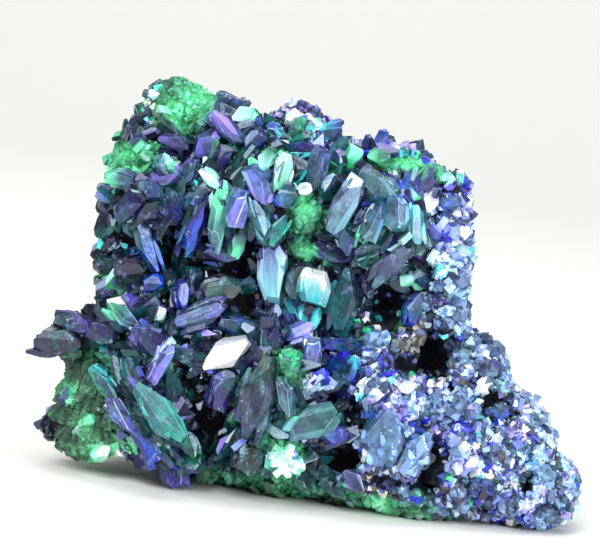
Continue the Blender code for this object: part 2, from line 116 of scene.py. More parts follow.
# ---------------------------------------------------------------- the layout of the front
@dataclass(frozen=True)
class Sheet:
    """The upright sheet that the front is laid out on, as seen from one viewing point.

    Attributes:
        depth: where the sheet stands along Y.
        middle: the point of the sheet straight ahead of the eye.
        distance: from the eye to the sheet.
        elevation: of the eye above the level, in degrees.
        roll: how far the view is turned about its own axis, in degrees.
        width: of the view at the sheet.
    """

    depth: float = -9.0
    middle: tuple[float, float] = (-3.0, 24.8)
    distance: float = 300.0
    elevation: float = 6.0
    roll: float = 7.5
    width: float = 63.0

    def point(self, x: float, height: float) -> Vector:
        """The point of the sheet at x and height."""
        lean = math.radians(self.elevation)
        up = Vector((0, math.sin(lean), math.cos(lean)))
        middle = Vector((0, self.depth, self.middle[1]))
        return middle + Vector((x, 0, 0)) + up * (height - self.middle[1])

    def seen(self, points: np.ndarray) -> np.ndarray:
        """Where points show on the sheet from the viewing point.

        Args:
            points: an N by 3 array in millimetres.

        Returns:
            An N by 2 array of places across the sheet and heights on it.
        """
        eye = np.array(self.eye())
        away = points - eye
        far = away @ np.array(self.ahead())
        spots = eye + away * (self.distance / far)[:, None]
        lean = math.radians(self.elevation)
        heights = self.middle[1] + (spots[:, 2] - self.middle[1]) / math.cos(lean)
        return np.column_stack((spots[:, 0], heights))

    def ahead(self) -> Vector:
        """The direction that the eye looks in."""
        lean = math.radians(self.elevation)
        return Vector((0, math.cos(lean), -math.sin(lean)))

    def eye(self) -> Vector:
        """The viewing point."""
        return self.point(*self.middle) - self.ahead() * self.distance


SHEET = Sheet()

# How much painted light and shade the faces of one crystal get at random, so that its facets differ as
# if each caught the light differently.
FACE_CONTRAST = 0.32
# How far chance moves a small crystal before it takes the tints of the nearest palette.
STRAY = 0.9
# The share of the small crystals that take the tint of their cluster, and a cluster's usual size.
ALIKE = 0.7
CLUSTER = 7
# How much small crystals of one tint differ in lightness.
CRYSTAL_CONTRAST = 0.22
# The Y behind which the rear's tints are used, and the least Y of a rear face's normal.
REAR_START = 6.0
REAR_FACING = 0.35


@dataclass(frozen=True)
class Lump:
    """A rounded mass: its middle and its three half-sizes."""

    x: float
    y: float
    z: float
    rx: float
    ry: float
    rz: float

    def reach(self, points: np.ndarray) -> np.ndarray:
        """How far points lie from the middle, 1 being on the mass's own skin.

        Args:
            points: an N by 3 array in millimetres.

        Returns:
            N distances.
        """
        middle = np.array((self.x, self.y, self.z))
        return np.linalg.norm((points - middle) / np.array((self.rx, self.ry, self.rz)), axis=1)

    def cover(self, points: np.ndarray, edge: float, blur: float) -> np.ndarray:
        """1 for points well inside, 0 from a reach of edge outwards, and fading over blur."""
        return np.clip((edge - self.reach(points)) / blur, 0, 1)


LUMPS = [
    Lump(0, 2.5, 7, 22, 14, 9), Lump(12, 1, 5, 15, 13, 7), Lump(23.2, -1, 3.4, 6.8, 8.5, 4.5),
    Lump(20.8, -0.5, 7.8, 6.0, 9.5, 5.8), Lump(16.6, 0, 12.4, 4.9, 10, 6.8),
    Lump(-23, -4, 6.2, 4.8, 6.0, 5.6), Lump(-27.3, -5.5, 4.2, 2.1, 2.4, 2.2),
    Lump(-25.0, -3, 14.6, 4.0, 4.6, 2.0), Lump(-27.0, -4, 13.2, 2.8, 3.6, 1.6),
    Lump(-14, -7, 9.5, 7.5, 7.5, 8.0), Lump(-4, -8, 10, 7.5, 6.5, 8.5),
    Lump(6, -7, 9, 8.0, 6.5, 8.5), Lump(-12, 1.5, 19, 11, 10, 7), Lump(-19, -1, 16, 5, 7, 4.5),
    Lump(2, 2, 21, 12, 9.5, 11), Lump(12.6, 0, 22, 2.6, 9.5, 14),
    Lump(-19.6, 0, 29.6, 6.2, 8.5, 5.6), Lump(-21.5, 1, 23.5, 3.5, 6.5, 5.0),
    Lump(-8, 0, 31, 10, 10.0, 7.0), Lump(4, 0, 31.0, 8.5, 10.0, 6.5),
    Lump(-20.5, 0.5, 35.0, 4.2, 5.6, 3.6), Lump(-19.4, 0.5, 39.0, 3.4, 4.6, 3.5),
    Lump(-16.9, 0.5, 40.0, 2.6, 4.0, 2.8), Lump(-12.0, 1, 37.6, 4.0, 6.0, 3.6),
    Lump(-5.0, 1.5, 38.3, 3.8, 5.0, 3.6), Lump(3.5, 1, 36.0, 6.6, 6.5, 3.0),
    Lump(10.3, 0, 33.8, 3.4, 7.5, 3.4),
]

# The smooth dark lump at the foot of the left side, which bears only small points.
ROUND_LUMP = LUMPS[6]

HOLLOWS = [
    Lump(-15, -12, 22.8, 8.5, 8.5, 1.9), Lump(-21, -9, 25.0, 3.0, 5.5, 2.6),
    Lump(-8, -12, 19.8, 3.8, 8.0, 1.9), Lump(6.8, -10, 22.0, 3.2, 8.0, 2.6),
    Lump(12.6, -8, 17.8, 2.1, 6.5, 2.6), Lump(9.2, -9, 16.2, 1.8, 5.5, 1.2),
    Lump(3.6, -13, 5.9, 2.2, 5.0, 1.6), Lump(3.0, -13, 12.0, 1.7, 4.5, 1.4),
    Lump(-10.6, -15, 6.6, 2.2, 5.0, 3.2), Lump(13.8, -11, 5.6, 0.9, 4.5, 2.4),
    Lump(-13.4, -15, 12.6, 1.6, 4.5, 2.0),
]

# Where malachite covers the rock, and how thickly, from 0 to 1.
MALACHITE = [
    (Lump(-17.2, 0, 40.2, 3.7, 6.5, 4.2), 1.0),
    (Lump(-22.0, -3, 33.8, 4.2, 6.5, 1.8), 0.9),
    (Lump(-22.6, -5, 7.4, 4.2, 8.0, 6.6), 1.0),
    (Lump(-5.5, -9, 1.2, 6.5, 9.0, 2.2), 1.0),
    (Lump(6.5, -9, 0.6, 8.0, 9.0, 2.2), 0.9),
    (Lump(12.0, -8, 1.2, 3.0, 8.0, 1.8), 0.8),
    (Lump(-3.0, -8, 30.3, 2.2, 5.0, 2.4), 1.0),
    (Lump(-2.8, -8, 26.6, 2.0, 5.0, 1.6), 0.9),
    (Lump(-18.4, -7, 34.0, 3.5, 4.0, 2.5), 0.5),
    (Lump(8.0, -4, 36.8, 5.0, 5.0, 1.2), 0.9),
    (Lump(-7.6, -7, 36.6, 3.0, 4.0, 2.0), 0.6),
    (Lump(-3.0, -12, 14.6, 2.4, 4.0, 2.0), 0.9),
    (Lump(-2.5, -13, 5.0, 3.2, 4.0, 3.0), 0.7),
    (Lump(-8.6, -13, 13.5, 1.6, 4.0, 6.0), 0.5),
    (Lump(-16.8, -13, 14.0, 2.4, 4.0, 1.6), 0.5),
    (Lump(10.0, 12, 28.0, 6.0, 7.0, 7.0), 0.8),
    (Lump(-14.0, 12, 12.0, 9.0, 8.0, 5.0), 0.8),
    (Lump(-20.0, 9, 30.0, 6.0, 6.0, 4.0), 0.6),
    (Lump(18.0, 10, 6.0, 7.0, 6.0, 4.0), 0.5),
    (Lump(0.0, 10, 38.0, 8.0, 5.0, 3.0), 0.5),
]

# The malachite of the lobe at the lower left, which bears sprays and little crust.
LOBE = MALACHITE[2][0]

# Where malachite is palest: the place across, the height and the radius.
PALE_MALACHITE = [
    (-20.0, 37.4, 1.6), (-18.2, 39.2, 1.9), (-16.4, 40.9, 2.0), (-15.4, 42.2, 1.8),
    (-22.6, 34.4, 1.2), (-24.2, 32.6, 1.0), (-23.4, 6.2, 1.3), (-21.4, 3.4, 1.7), (-19.6, 3.4, 1.3),
    (-25.0, 9.8, 1.0), (-3.4, 31.2, 1.3), (-2.4, 27.2, 1.0), (6.8, 37.0, 2.4), (-1.8, 4.8, 2.2),
    (-12.2, 5.0, 1.2), (8.5, 1.4, 1.6),
]

# Openings in the crystals' cover, sunk a little into the rock and painted black as shade: the place
# across, the height and the two half-sizes.
VUGS = [
    (12.1, 17.2, 1.9, 2.1), (11.3, 20.4, 0.5, 1.7), (9.4, 15.9, 1.3, 0.7), (9.0, 24.2, 2.6, 0.5),
    (3.2, 11.5, 1.8, 1.1), (4.6, 9.4, 1.5, 1.6), (9.6, 3.9, 2.2, 0.6), (4.3, 5.7, 2.2, 1.6),
    (13.4, 7.6, 0.8, 1.7), (12.7, 4.2, 0.8, 1.8), (18.9, 14.0, 1.3, 1.1), (12.0, 10.1, 1.0, 0.5),
    (14.6, 14.5, 0.5, 0.8), (23.6, 5.5, 0.7, 1.5), (-14.7, 22.9, 3.6, 0.9), (-10.4, 8.4, 2.5, 4.4),
    (-12.0, 10.2, 1.8, 2.8), (-17.4, 12.4, 1.2, 1.3), (-17.2, 24.1, 2.0, 2.0),
    (-13.6, 27.4, 1.5, 2.6), (-16.2, 27.0, 1.2, 2.0), (-16.4, 19.6, 0.9, 1.4),
    (-14.6, 16.2, 1.8, 0.7), (-9.8, 23.9, 2.2, 1.2), (-8.8, 27.1, 1.3, 2.0),
    (-11.2, 36.7, 0.9, 0.7), (-22.3, 30.9, 1.3, 0.4), (-12.4, 34.5, 1.3, 0.7),
    (-21.7, 23.6, 1.2, 1.6), (-19.3, 36.3, 1.0, 0.4),
]


@dataclass(frozen=True)
class Blade:
    """A large crystal of the front: where it shows on the sheet, its size, how it stands, and its tints.

    Attributes:
        x: its middle's place across the sheet.
        height: its middle's height on the sheet.
        length: along its long axis.
        width: across its broad face.
        lie: of the long axis from the sheet's X, in degrees.
        turn: about the long axis, in degrees.
        head: tint of the far end.
        foot: tint of the near end.
        rim: tint of its bevelled edges, mostly a painted edge highlight.
        rake: how far the far end tips towards the eye, in degrees.
        proud: how far its middle stands off the rock.
        overgrown: whether small crystals have grown over it.
    """

    x: float
    height: float
    length: float
    width: float
    lie: float
    turn: float
    head: Hue
    foot: Hue
    rim: Hue = Hue.PERIWINKLE
    rake: float = 0
    proud: float = 0.3
    overgrown: bool = False

    def painted_mirror(self) -> bool:
        """Whether it is one face painted white as a reflection, which nothing grows over."""
        return self.head is self.foot is Hue.WHITE

    def body(self, along: np.ndarray) -> np.ndarray:
        """Its tints, for N by 1 shares of the way from its foot to its head."""
        return np.array(self.foot.value) * (1 - along) + np.array(self.head.value) * along


UPPER_LEFT = [
    Blade(-14.6, 39.3, 2.0, 1.3, 30, 20, Hue.LILAC, Hue.VIOLET),
    Blade(-12.5, 38.5, 4.6, 1.5, -38, -25, Hue.LILAC, Hue.LILAC, rake=10),
    Blade(-14.4, 36.6, 3.3, 2.6, 50, 15, Hue.LILAC, Hue.PERIWINKLE, Hue.WHITE, rake=15, proud=0.6),
    Blade(-16.1, 33.2, 3.5, 1.9, 65, -20, Hue.LILAC, Hue.VIOLET, rake=10, proud=0.6),
    Blade(-18.4, 33.8, 3.3, 2.6, 20, 10, Hue.MOSS, Hue.GREY_TEAL, Hue.GREY_TEAL, rake=-15),
    Blade(-22.8, 31.9, 3.7, 1.8, 10, 25, Hue.VIOLET, Hue.MINT, Hue.ICE, proud=0.5),
    Blade(-24.0, 29.8, 2.6, 1.9, -20, -20, Hue.TEAL, Hue.PERIWINKLE, Hue.ICE),
    Blade(-21.8, 28.8, 3.3, 2.0, 55, 30, Hue.VIOLET, Hue.INDIGO, rake=10, proud=0.5),
    Blade(-19.5, 25.4, 6.5, 1.9, -61, -20, Hue.BLUE, Hue.TEAL, Hue.CYAN, rake=-12, proud=1.6),
    Blade(-17.9, 36.4, 3.4, 1.4, -10, 20, Hue.SLATE, Hue.LILAC),
    Blade(-20.9, 34.6, 2.8, 1.4, -55, -15, Hue.MINT, Hue.GREEN, Hue.ICE),
    Blade(-13.6, 33.0, 2.9, 1.4, -35, 10, Hue.MINT, Hue.ICE, Hue.WHITE),
    Blade(-17.2, 29.6, 4.0, 1.5, -75, 25, Hue.INDIGO, Hue.VIOLET, rake=10, proud=0.6),
    Blade(-14.5, 28.4, 6.4, 1.7, 75, -25, Hue.VIOLET, Hue.BLUE, Hue.CYAN, rake=12, proud=1.0),
    Blade(-21.7, 36.0, 2.0, 1.5, 40, 0, Hue.STEEL, Hue.GREY_TEAL),
    Blade(-23.8, 26.8, 3.2, 2.1, 80, -20, Hue.UMBER, Hue.INK, Hue.SLATE),
    Blade(-12.6, 35.4, 2.7, 1.6, 70, 25, Hue.INDIGO, Hue.INDIGO),
    Blade(-19.6, 31.0, 3.2, 1.8, -20, -10, Hue.VIOLET, Hue.SLATE),
    Blade(-23.6, 33.6, 2.6, 1.8, 15, 10, Hue.MINT, Hue.GREEN, Hue.ICE),
]

UPPER_MIDDLE = [
    Blade(-12.8, 41.2, 2.8, 1.7, -20, 15, Hue.VIOLET, Hue.SLATE),
    Blade(-10.9, 40.0, 2.7, 2.0, 30, -20, Hue.MINT, Hue.ICE, Hue.ICE),
    Blade(-9.4, 37.7, 2.8, 2.1, 60, 10, Hue.INDIGO, Hue.ULTRA, Hue.CYAN),
    Blade(-7.6, 38.6, 2.2, 1.7, -30, 20, Hue.CYAN, Hue.BLUE, Hue.ICE),
    Blade(-5.2, 39.6, 2.4, 1.3, 70, -20, Hue.MINT, Hue.GREEN),
    Blade(-1.8, 39.6, 2.7, 1.9, 20, 10, Hue.BLUE, Hue.CYAN, Hue.CYAN),
    Blade(-0.1, 38.4, 2.4, 1.6, -30, -20, Hue.ULTRA, Hue.VIOLET),
    Blade(-7.9, 35.8, 2.7, 2.0, 80, -10, Hue.GREEN, Hue.ICE, Hue.WHITE, proud=0.6),
    Blade(-6.1, 34.6, 4.3, 1.7, 85, 20, Hue.ICE, Hue.MINT, Hue.WHITE, rake=10, proud=0.6),
    Blade(-8.6, 33.0, 4.5, 1.8, -58, 15, Hue.LILAC, Hue.PERIWINKLE, proud=0.7),
    Blade(-10.3, 33.2, 3.3, 1.6, 80, -25, Hue.PINE, Hue.PINE, Hue.SEA),
    Blade(-12.2, 29.0, 6.2, 1.4, 88, 40, Hue.MINT, Hue.GREY_TEAL, Hue.ICE, rake=10, proud=0.7),
    Blade(-10.3, 30.2, 4.2, 2.4, 80, -10, Hue.PERIWINKLE, Hue.LILAC, Hue.ICE, rake=12, proud=0.9),
    Blade(-9.9, 26.9, 3.4, 1.8, 80, 20, Hue.TEAL, Hue.MINT, Hue.CYAN),
    Blade(-11.5, 25.4, 3.6, 1.5, -5, 10, Hue.LILAC, Hue.VIOLET, proud=1.1),
    Blade(-7.9, 29.4, 4.3, 1.7, -60, -20, Hue.GREY_TEAL, Hue.TEAL, proud=0.6),
    Blade(-5.5, 32.0, 2.6, 2.2, 30, 0, Hue.TEAL, Hue.BLUE, Hue.GREY_TEAL, rake=10, proud=0.6),
    Blade(-3.7, 33.2, 1.7, 1.1, 20, 15, Hue.WHITE, Hue.ICE, Hue.WHITE),
    Blade(-2.7, 35.0, 4.9, 1.8, 75, -25, Hue.LILAC, Hue.PINE, Hue.LILAC, rake=10, proud=0.8),
    Blade(-1.0, 34.0, 2.4, 1.8, 60, 20, Hue.ICE, Hue.PERIWINKLE, Hue.WHITE),
    Blade(-3.0, 30.4, 4.3, 2.4, 70, 10, Hue.GREEN, Hue.PINE, Hue.GREEN, proud=0.4),
    Blade(-2.7, 27.0, 2.8, 2.3, -40, -10, Hue.GREEN, Hue.GREEN, Hue.MINT, proud=0.4),
    Blade(-5.9, 28.6, 3.6, 1.9, 70, 10, Hue.TEAL, Hue.SEA, Hue.CYAN),
    Blade(-4.0, 37.2, 3.0, 1.8, -20, 15, Hue.INDIGO, Hue.VIOLET),
]

UPPER_RIGHT = [
    Blade(0.8, 32.2, 6.5, 2.5, 67, -4, Hue.ASH, Hue.GREY_TEAL, Hue.LILAC, rake=8, proud=1.1),
    Blade(4.1, 34.7, 5.0, 2.1, -30, 20, Hue.GREY_TEAL, Hue.ASH, Hue.ICE, proud=0.7),
    Blade(6.2, 31.9, 3.9, 2.6, -75, 15, Hue.GREY_TEAL, Hue.POWDER, Hue.CYAN, proud=0.7),
    Blade(4.0, 30.9, 4.3, 1.8, 75, -25, Hue.POWDER, Hue.GREY_TEAL, Hue.WHITE, proud=0.6),
    Blade(1.5, 28.4, 3.1, 1.8, -70, 20, Hue.VIOLET, Hue.INDIGO, Hue.WHITE, proud=0.5),
    Blade(0.2, 26.9, 4.5, 1.9, -12, -15, Hue.INDIGO, Hue.VIOLET, Hue.LILAC, proud=0.9),
    Blade(3.8, 28.0, 3.1, 1.4, 28, 10, Hue.PINE, Hue.TEAL, Hue.TEAL),
    Blade(6.5, 26.8, 6.6, 2.4, 57, 15, Hue.ASH, Hue.PURPLE, Hue.ASH, rake=12, proud=1.2),
    Blade(8.4, 31.0, 4.2, 1.8, -75, -20, Hue.GREY_TEAL, Hue.CYAN, Hue.ICE),
    Blade(7.2, 34.2, 3.1, 1.6, -45, 10, Hue.MINT, Hue.BLUE, Hue.ICE),
    Blade(9.7, 33.8, 2.6, 1.8, 80, 10, Hue.LILAC, Hue.WHITE, Hue.WHITE),
    Blade(11.9, 33.8, 2.2, 1.7, 30, -10, Hue.VIOLET, Hue.ULTRA),
    Blade(1.0, 37.0, 2.8, 1.8, 70, 20, Hue.MINT, Hue.GREEN, Hue.ICE),
    Blade(3.7, 37.6, 2.5, 1.8, 10, -10, Hue.GREEN, Hue.MINT),
    Blade(7.1, 36.9, 5.0, 1.8, 14, 25, Hue.GREEN, Hue.MINT, Hue.MINT),
    Blade(10.6, 36.4, 2.8, 1.6, -20, 10, Hue.GREEN, Hue.MINT),
    Blade(10.6, 30.8, 2.4, 1.9, 60, 20, Hue.PERIWINKLE, Hue.ULTRA, Hue.WHITE, overgrown=True),
    Blade(13.0, 31.0, 2.4, 1.9, -20, -20, Hue.STEEL, Hue.PERIWINKLE, Hue.WHITE, overgrown=True),
    Blade(11.3, 28.0, 2.3, 1.8, 20, 10, Hue.ICE, Hue.STEEL, Hue.WHITE, overgrown=True),
    Blade(9.6, 25.5, 3.2, 1.8, 5, 0, Hue.POWDER, Hue.ASH, Hue.WHITE, proud=0.6, overgrown=True),
    Blade(13.6, 26.0, 2.4, 1.8, 60, -20, Hue.STEEL, Hue.SLATE, Hue.WHITE, overgrown=True),
    Blade(14.0, 22.6, 2.4, 1.8, 100, -10, Hue.SLATE, Hue.STEEL, Hue.WHITE, overgrown=True),
]

CENTRE = [
    Blade(-5.8, 24.0, 7.7, 2.8, 104, -14, Hue.ORCHID, Hue.AQUA, Hue.ICE, rake=6, proud=1.4),
    Blade(-3.3, 23.4, 3.5, 2.0, 85, 10, Hue.MOSS, Hue.GREY_TEAL, Hue.MOSS, proud=1.0),
    Blade(-1.1, 23.2, 3.6, 3.2, 80, 12, Hue.WHITE, Hue.CYAN, Hue.WHITE, rake=-8, proud=1.3),
    Blade(2.0, 22.0, 7.3, 2.9, 90, -10, Hue.PINE, Hue.TEAL, Hue.BLUE, proud=0.8),
    Blade(-10.8, 21.8, 3.8, 2.7, 20, 15, Hue.BRONZE, Hue.MOSS, Hue.GREEN, proud=0.9),
    Blade(-13.9, 22.2, 2.8, 1.7, 85, 30, Hue.TEAL, Hue.SLATE, Hue.SEA, proud=0.5),
    Blade(-5.0, 19.6, 2.9, 1.6, 100, 20, Hue.INDIGO, Hue.INDIGO),
    Blade(-2.3, 18.2, 3.6, 2.1, 35, -15, Hue.ORCHID, Hue.PERIWINKLE, Hue.ICE, proud=0.9),
    Blade(-0.5, 16.3, 3.3, 1.9, 85, 15, Hue.PERIWINKLE, Hue.LILAC, Hue.ICE),
    Blade(-2.9, 15.0, 2.9, 2.5, 30, 0, Hue.GREEN, Hue.GREEN, Hue.MINT, proud=0.4),
    Blade(2.1, 17.4, 3.4, 1.5, 8, 10, Hue.INDIGO, Hue.ULTRA, Hue.LILAC),
    Blade(3.6, 15.2, 2.6, 1.8, 80, -20, Hue.CYAN, Hue.ULTRA, Hue.CYAN),
    Blade(9.5, 22.2, 3.7, 2.2, 80, 15, Hue.VIOLET, Hue.BLUE, Hue.STEEL, proud=0.6),
    Blade(6.0, 18.4, 2.9, 2.1, 30, 10, Hue.STEEL, Hue.POWDER, Hue.WHITE, overgrown=True),
    Blade(8.6, 18.9, 3.2, 2.4, 20, -10, Hue.CREAM, Hue.MOSS, Hue.STEEL, overgrown=True),
    Blade(-4.6, 17.0, 2.9, 1.6, 85, -20, Hue.PURPLE, Hue.SLATE),
]

LOWER_LEFT = [
    Blade(-22.9, 20.2, 2.6, 2.2, 45, 10, Hue.LILAC, Hue.PURPLE),
    Blade(-18.1, 21.4, 2.3, 1.8, 10, -20, Hue.BLUE, Hue.BLUE, Hue.PERIWINKLE, proud=0.6),
    Blade(-15.0, 20.6, 3.3, 1.7, 100, 25, Hue.VIOLET, Hue.BLUE),
    Blade(-12.6, 18.7, 5.8, 2.7, 31, -10, Hue.VIOLET, Hue.VIOLET, Hue.LILAC, proud=0.7),
    Blade(-8.9, 17.9, 3.6, 2.2, -20, 15, Hue.BLUE, Hue.TEAL, Hue.PERIWINKLE, proud=0.5),
    Blade(-9.6, 15.0, 5.4, 3.1, 39, 0, Hue.WHITE, Hue.WHITE, Hue.WHITE, rake=6, proud=1.0),
    Blade(-17.6, 15.2, 4.8, 2.0, -32, 20, Hue.INDIGO, Hue.VIOLET, Hue.LILAC, proud=0.6),
    Blade(-22.6, 15.5, 3.2, 2.5, -20, 0, Hue.PURPLE, Hue.PURPLE, Hue.VIOLET, proud=0.4),
    Blade(-20.8, 17.6, 3.8, 1.7, -30, -20, Hue.LILAC, Hue.MINT, Hue.ICE),
    Blade(-27.3, 13.9, 5.0, 2.7, 8, 10, Hue.UMBER, Hue.UMBER, Hue.BRONZE, proud=0.0),
    Blade(-25.8, 16.2, 4.2, 2.0, -12, -20, Hue.LILAC, Hue.UMBER, Hue.LILAC, proud=0.0),
    Blade(-21.6, 13.2, 2.7, 1.9, -30, 15, Hue.SEA, Hue.TEAL, Hue.CYAN),
    Blade(-19.3, 11.8, 3.0, 1.9, -60, -15, Hue.TEAL, Hue.TEAL, Hue.CYAN),
    Blade(-16.1, 13.1, 4.6, 1.6, 70, 20, Hue.PERIWINKLE, Hue.LILAC, Hue.ICE, rake=14, proud=1.0),
    Blade(-21.6, 10.0, 5.2, 1.8, -44, 20, Hue.TEAL, Hue.CYAN, Hue.ICE, proud=0.8),
    Blade(-19.2, 7.0, 4.6, 1.8, -47, -20, Hue.PERIWINKLE, Hue.LILAC, Hue.WHITE, proud=0.8),
    Blade(-16.3, 4.2, 3.7, 1.8, -50, 15, Hue.BLUE, Hue.VIOLET, Hue.PERIWINKLE, proud=0.6),
    Blade(-15.6, 8.0, 7.5, 2.8, -41, -12, Hue.SEA, Hue.MIST, Hue.CYAN, rake=10, proud=1.0),
    Blade(-12.2, 5.2, 3.2, 1.7, -55, 10, Hue.GREEN, Hue.SEA, Hue.MINT, proud=0.6),
    Blade(-9.5, 11.2, 4.3, 2.4, 75, 20, Hue.VIOLET, Hue.VIOLET, Hue.LILAC, proud=0.6),
    Blade(-5.7, 11.0, 8.7, 3.5, 82, -8, Hue.MOSS, Hue.PURPLE, Hue.VIOLET, rake=4, proud=1.1),
    Blade(-13.6, 2.3, 4.0, 3.0, 110, 10, Hue.INDIGO, Hue.VIOLET, Hue.PERIWINKLE, proud=0.4),
    Blade(-17.3, 1.8, 3.0, 2.0, 90, -10, Hue.INDIGO, Hue.VIOLET, proud=0.2),
    Blade(-27.6, 9.7, 2.4, 1.7, 70, 0, Hue.INDIGO, Hue.SLATE, Hue.SLATE, proud=0.0),
    Blade(-23.4, 22.6, 2.6, 2.1, 10, 0, Hue.UMBER, Hue.INK, Hue.SLATE, proud=0.2),
    Blade(-20.7, 22.6, 3.4, 2.2, 20, 10, Hue.UMBER, Hue.UMBER, Hue.SLATE, proud=0.4),
]

LOWER_MIDDLE = [
    Blade(0.3, 9.0, 5.8, 3.3, 40, 10, Hue.MIST, Hue.GREY_TEAL, Hue.MINT, proud=0.8),
    Blade(2.9, 8.0, 2.6, 1.9, 5, -10, Hue.ULTRA, Hue.PERIWINKLE, Hue.LILAC, proud=0.4),
    Blade(-1.8, 4.7, 4.0, 3.0, -45, 0, Hue.ICE, Hue.MINT, Hue.WHITE, proud=0.5),
    Blade(-2.8, 11.4, 4.3, 1.7, -65, 20, Hue.GREY_TEAL, Hue.SLATE, Hue.ICE, proud=0.5),
    Blade(0.4, 13.4, 3.6, 2.4, 10, 10, Hue.ASH, Hue.STEEL, Hue.LILAC, proud=0.4, overgrown=True),
    Blade(-5.6, 4.6, 3.4, 2.8, 60, 0, Hue.UMBER, Hue.BRONZE, Hue.BRONZE, proud=0.2),
    Blade(5.6, 3.6, 2.9, 1.9, -40, 15, Hue.VIOLET, Hue.LILAC, Hue.WHITE),
    Blade(8.0, 2.2, 2.6, 1.7, 10, 0, Hue.CREAM, Hue.CREAM, Hue.WHITE, proud=0.2),
    Blade(-9.6, 2.4, 2.8, 1.8, 20, 10, Hue.CREAM, Hue.UMBER, Hue.CREAM, proud=0.2),
]

RIGHT_SIDE = [
    Blade(7.9, 8.5, 5.9, 3.8, 85, 10, Hue.POWDER, Hue.POWDER, Hue.LILAC, rake=6, proud=0.8),
    Blade(11.7, 7.2, 5.2, 2.3, 65, -15, Hue.POWDER, Hue.STEEL, Hue.WHITE, proud=0.7),
    Blade(12.4, 13.4, 2.6, 2.0, 10, 15, Hue.STEEL, Hue.BLUE),
    Blade(9.7, 14.0, 2.2, 1.5, 20, 0, Hue.WHITE, Hue.WHITE, Hue.WHITE, proud=0.5),
    Blade(6.6, 13.2, 2.9, 2.2, 50, -15, Hue.SLATE, Hue.STEEL, proud=0.4),
    Blade(15.0, 12.4, 2.4, 1.8, 60, 20, Hue.STEEL, Hue.SLATE, Hue.WHITE),
    Blade(15.9, 9.8, 2.9, 2.2, 30, -10, Hue.PERIWINKLE, Hue.ULTRA, Hue.WHITE),
    Blade(16.2, 6.9, 2.6, 2.0, 70, 10, Hue.PERIWINKLE, Hue.STEEL, Hue.WHITE),
    Blade(18.9, 4.6, 2.8, 2.2, 10, 20, Hue.VIOLET, Hue.INDIGO),
    Blade(20.4, 8.0, 2.8, 2.2, -40, 15, Hue.STEEL, Hue.SLATE),
    Blade(22.6, 3.0, 2.8, 2.0, 0, -10, Hue.SLATE, Hue.STEEL),
    Blade(26.0, 2.6, 2.6, 1.9, 30, 20, Hue.STEEL, Hue.SLATE, Hue.WHITE),
    Blade(23.0, 10.6, 2.6, 2.0, -40, -10, Hue.INDIGO, Hue.ULTRA),
    Blade(19.6, 13.0, 2.7, 2.1, 20, 10, Hue.ULTRA, Hue.STEEL),
    Blade(17.6, 17.0, 2.6, 1.9, -30, -20, Hue.STEEL, Hue.SLATE),
    Blade(25.2, 6.8, 2.6, 2.0, -50, 10, Hue.GREY_TEAL, Hue.STEEL),
    Blade(15.0, 17.6, 2.6, 1.9, 60, 15, Hue.STEEL, Hue.SLATE),
    Blade(27.8, 3.6, 2.6, 2.0, -60, 0, Hue.INDIGO, Hue.STEEL, proud=0.0),
    Blade(12.6, 3.0, 2.6, 1.9, 20, 10, Hue.GREEN, Hue.SLATE),
]

# Small chips tinted white and pale: painted glints.
PAINTED_GLINT_CHIPS = [
    Blade(-0.7, 19.8, 2.7, 0.9, 80, 10, Hue.CYAN, Hue.CYAN, Hue.CYAN, proud=1.2),
    Blade(-16.9, 18.1, 1.8, 1.0, 75, 10, Hue.WHITE, Hue.ICE, Hue.WHITE, proud=0.6),
    Blade(16.3, 8.3, 1.9, 1.3, 80, 15, Hue.WHITE, Hue.PERIWINKLE, Hue.WHITE, proud=0.9),
    Blade(17.6, 7.1, 1.8, 1.2, 55, -10, Hue.WHITE, Hue.ORCHID, Hue.WHITE, proud=0.9),
    Blade(16.1, 6.4, 1.7, 1.2, 95, 10, Hue.PERIWINKLE, Hue.WHITE, Hue.WHITE, proud=0.9),
    Blade(-19.2, 3.6, 1.8, 1.3, 80, 10, Hue.WHITE, Hue.ICE, Hue.WHITE, proud=1.6),
    Blade(-21.2, 3.0, 2.2, 1.7, 40, -10, Hue.WHITE, Hue.MINT, Hue.WHITE, proud=1.8),
    Blade(-22.9, 6.3, 1.3, 1.1, 10, 10, Hue.MINT, Hue.MINT, Hue.ICE, proud=1.5),
]

BLADES = [
    *UPPER_LEFT,
    *UPPER_MIDDLE,
    *UPPER_RIGHT,
    *CENTRE,
    *LOWER_LEFT,
    *LOWER_MIDDLE,
    *RIGHT_SIDE,
    *PAINTED_GLINT_CHIPS,
]

# ---------------------------------------------------------------- which tints grow where
Mix = dict[Hue, float]


@dataclass(frozen=True)
class Palette:
    """The mix of tints of the small crystals round one place on the front.

    Attributes:
        x: the place across the sheet.
        height: the place's height.
        mix: each tint's share.
    """

    x: float
    height: float
    mix: Mix


def mix_of(**shares: float) -> Mix:
    """A mix of tints, from each one's name and share."""
    return {Hue[name]: share for name, share in shares.items()}


DARK_BLADES = mix_of(INDIGO=5, VIOLET=2, INK=4, PINE=3, TEAL=3, SLATE=2, LILAC=1, BLUE=1)
VIOLET_BLADES = mix_of(
    VIOLET=4, INDIGO=3, LILAC=2.5, SLATE=1.5, MINT=1.2, TEAL=2, SEA=0.8, PERIWINKLE=1.2, INK=1.5
)
TEAL_BLADES = mix_of(
    TEAL=3, GREY_TEAL=2.5, MINT=2, SEA=2, CYAN=1.5, BLUE=1.5, LILAC=1.5, INDIGO=2, PINE=1.5, ICE=0.8
)
# A pale mix whose light tints are painted glow and highlights of brightly lit crystals.
GLOWING = mix_of(ICE=2, MINT=2, LILAC=2, ORCHID=1, CYAN=1.5, PERIWINKLE=1.5, TEAL=2, INDIGO=2)
MOSSY = mix_of(MOSS=3, GREEN=2.5, MINT=2, PINE=2, SLATE=2, GREY_TEAL=1.5, INDIGO=1)
SHOULDER = mix_of(VIOLET=4, ULTRA=2, INDIGO=3, PERIWINKLE=1.5, LILAC=1, TEAL=1, WHITE=0.5, MINT=0.5)
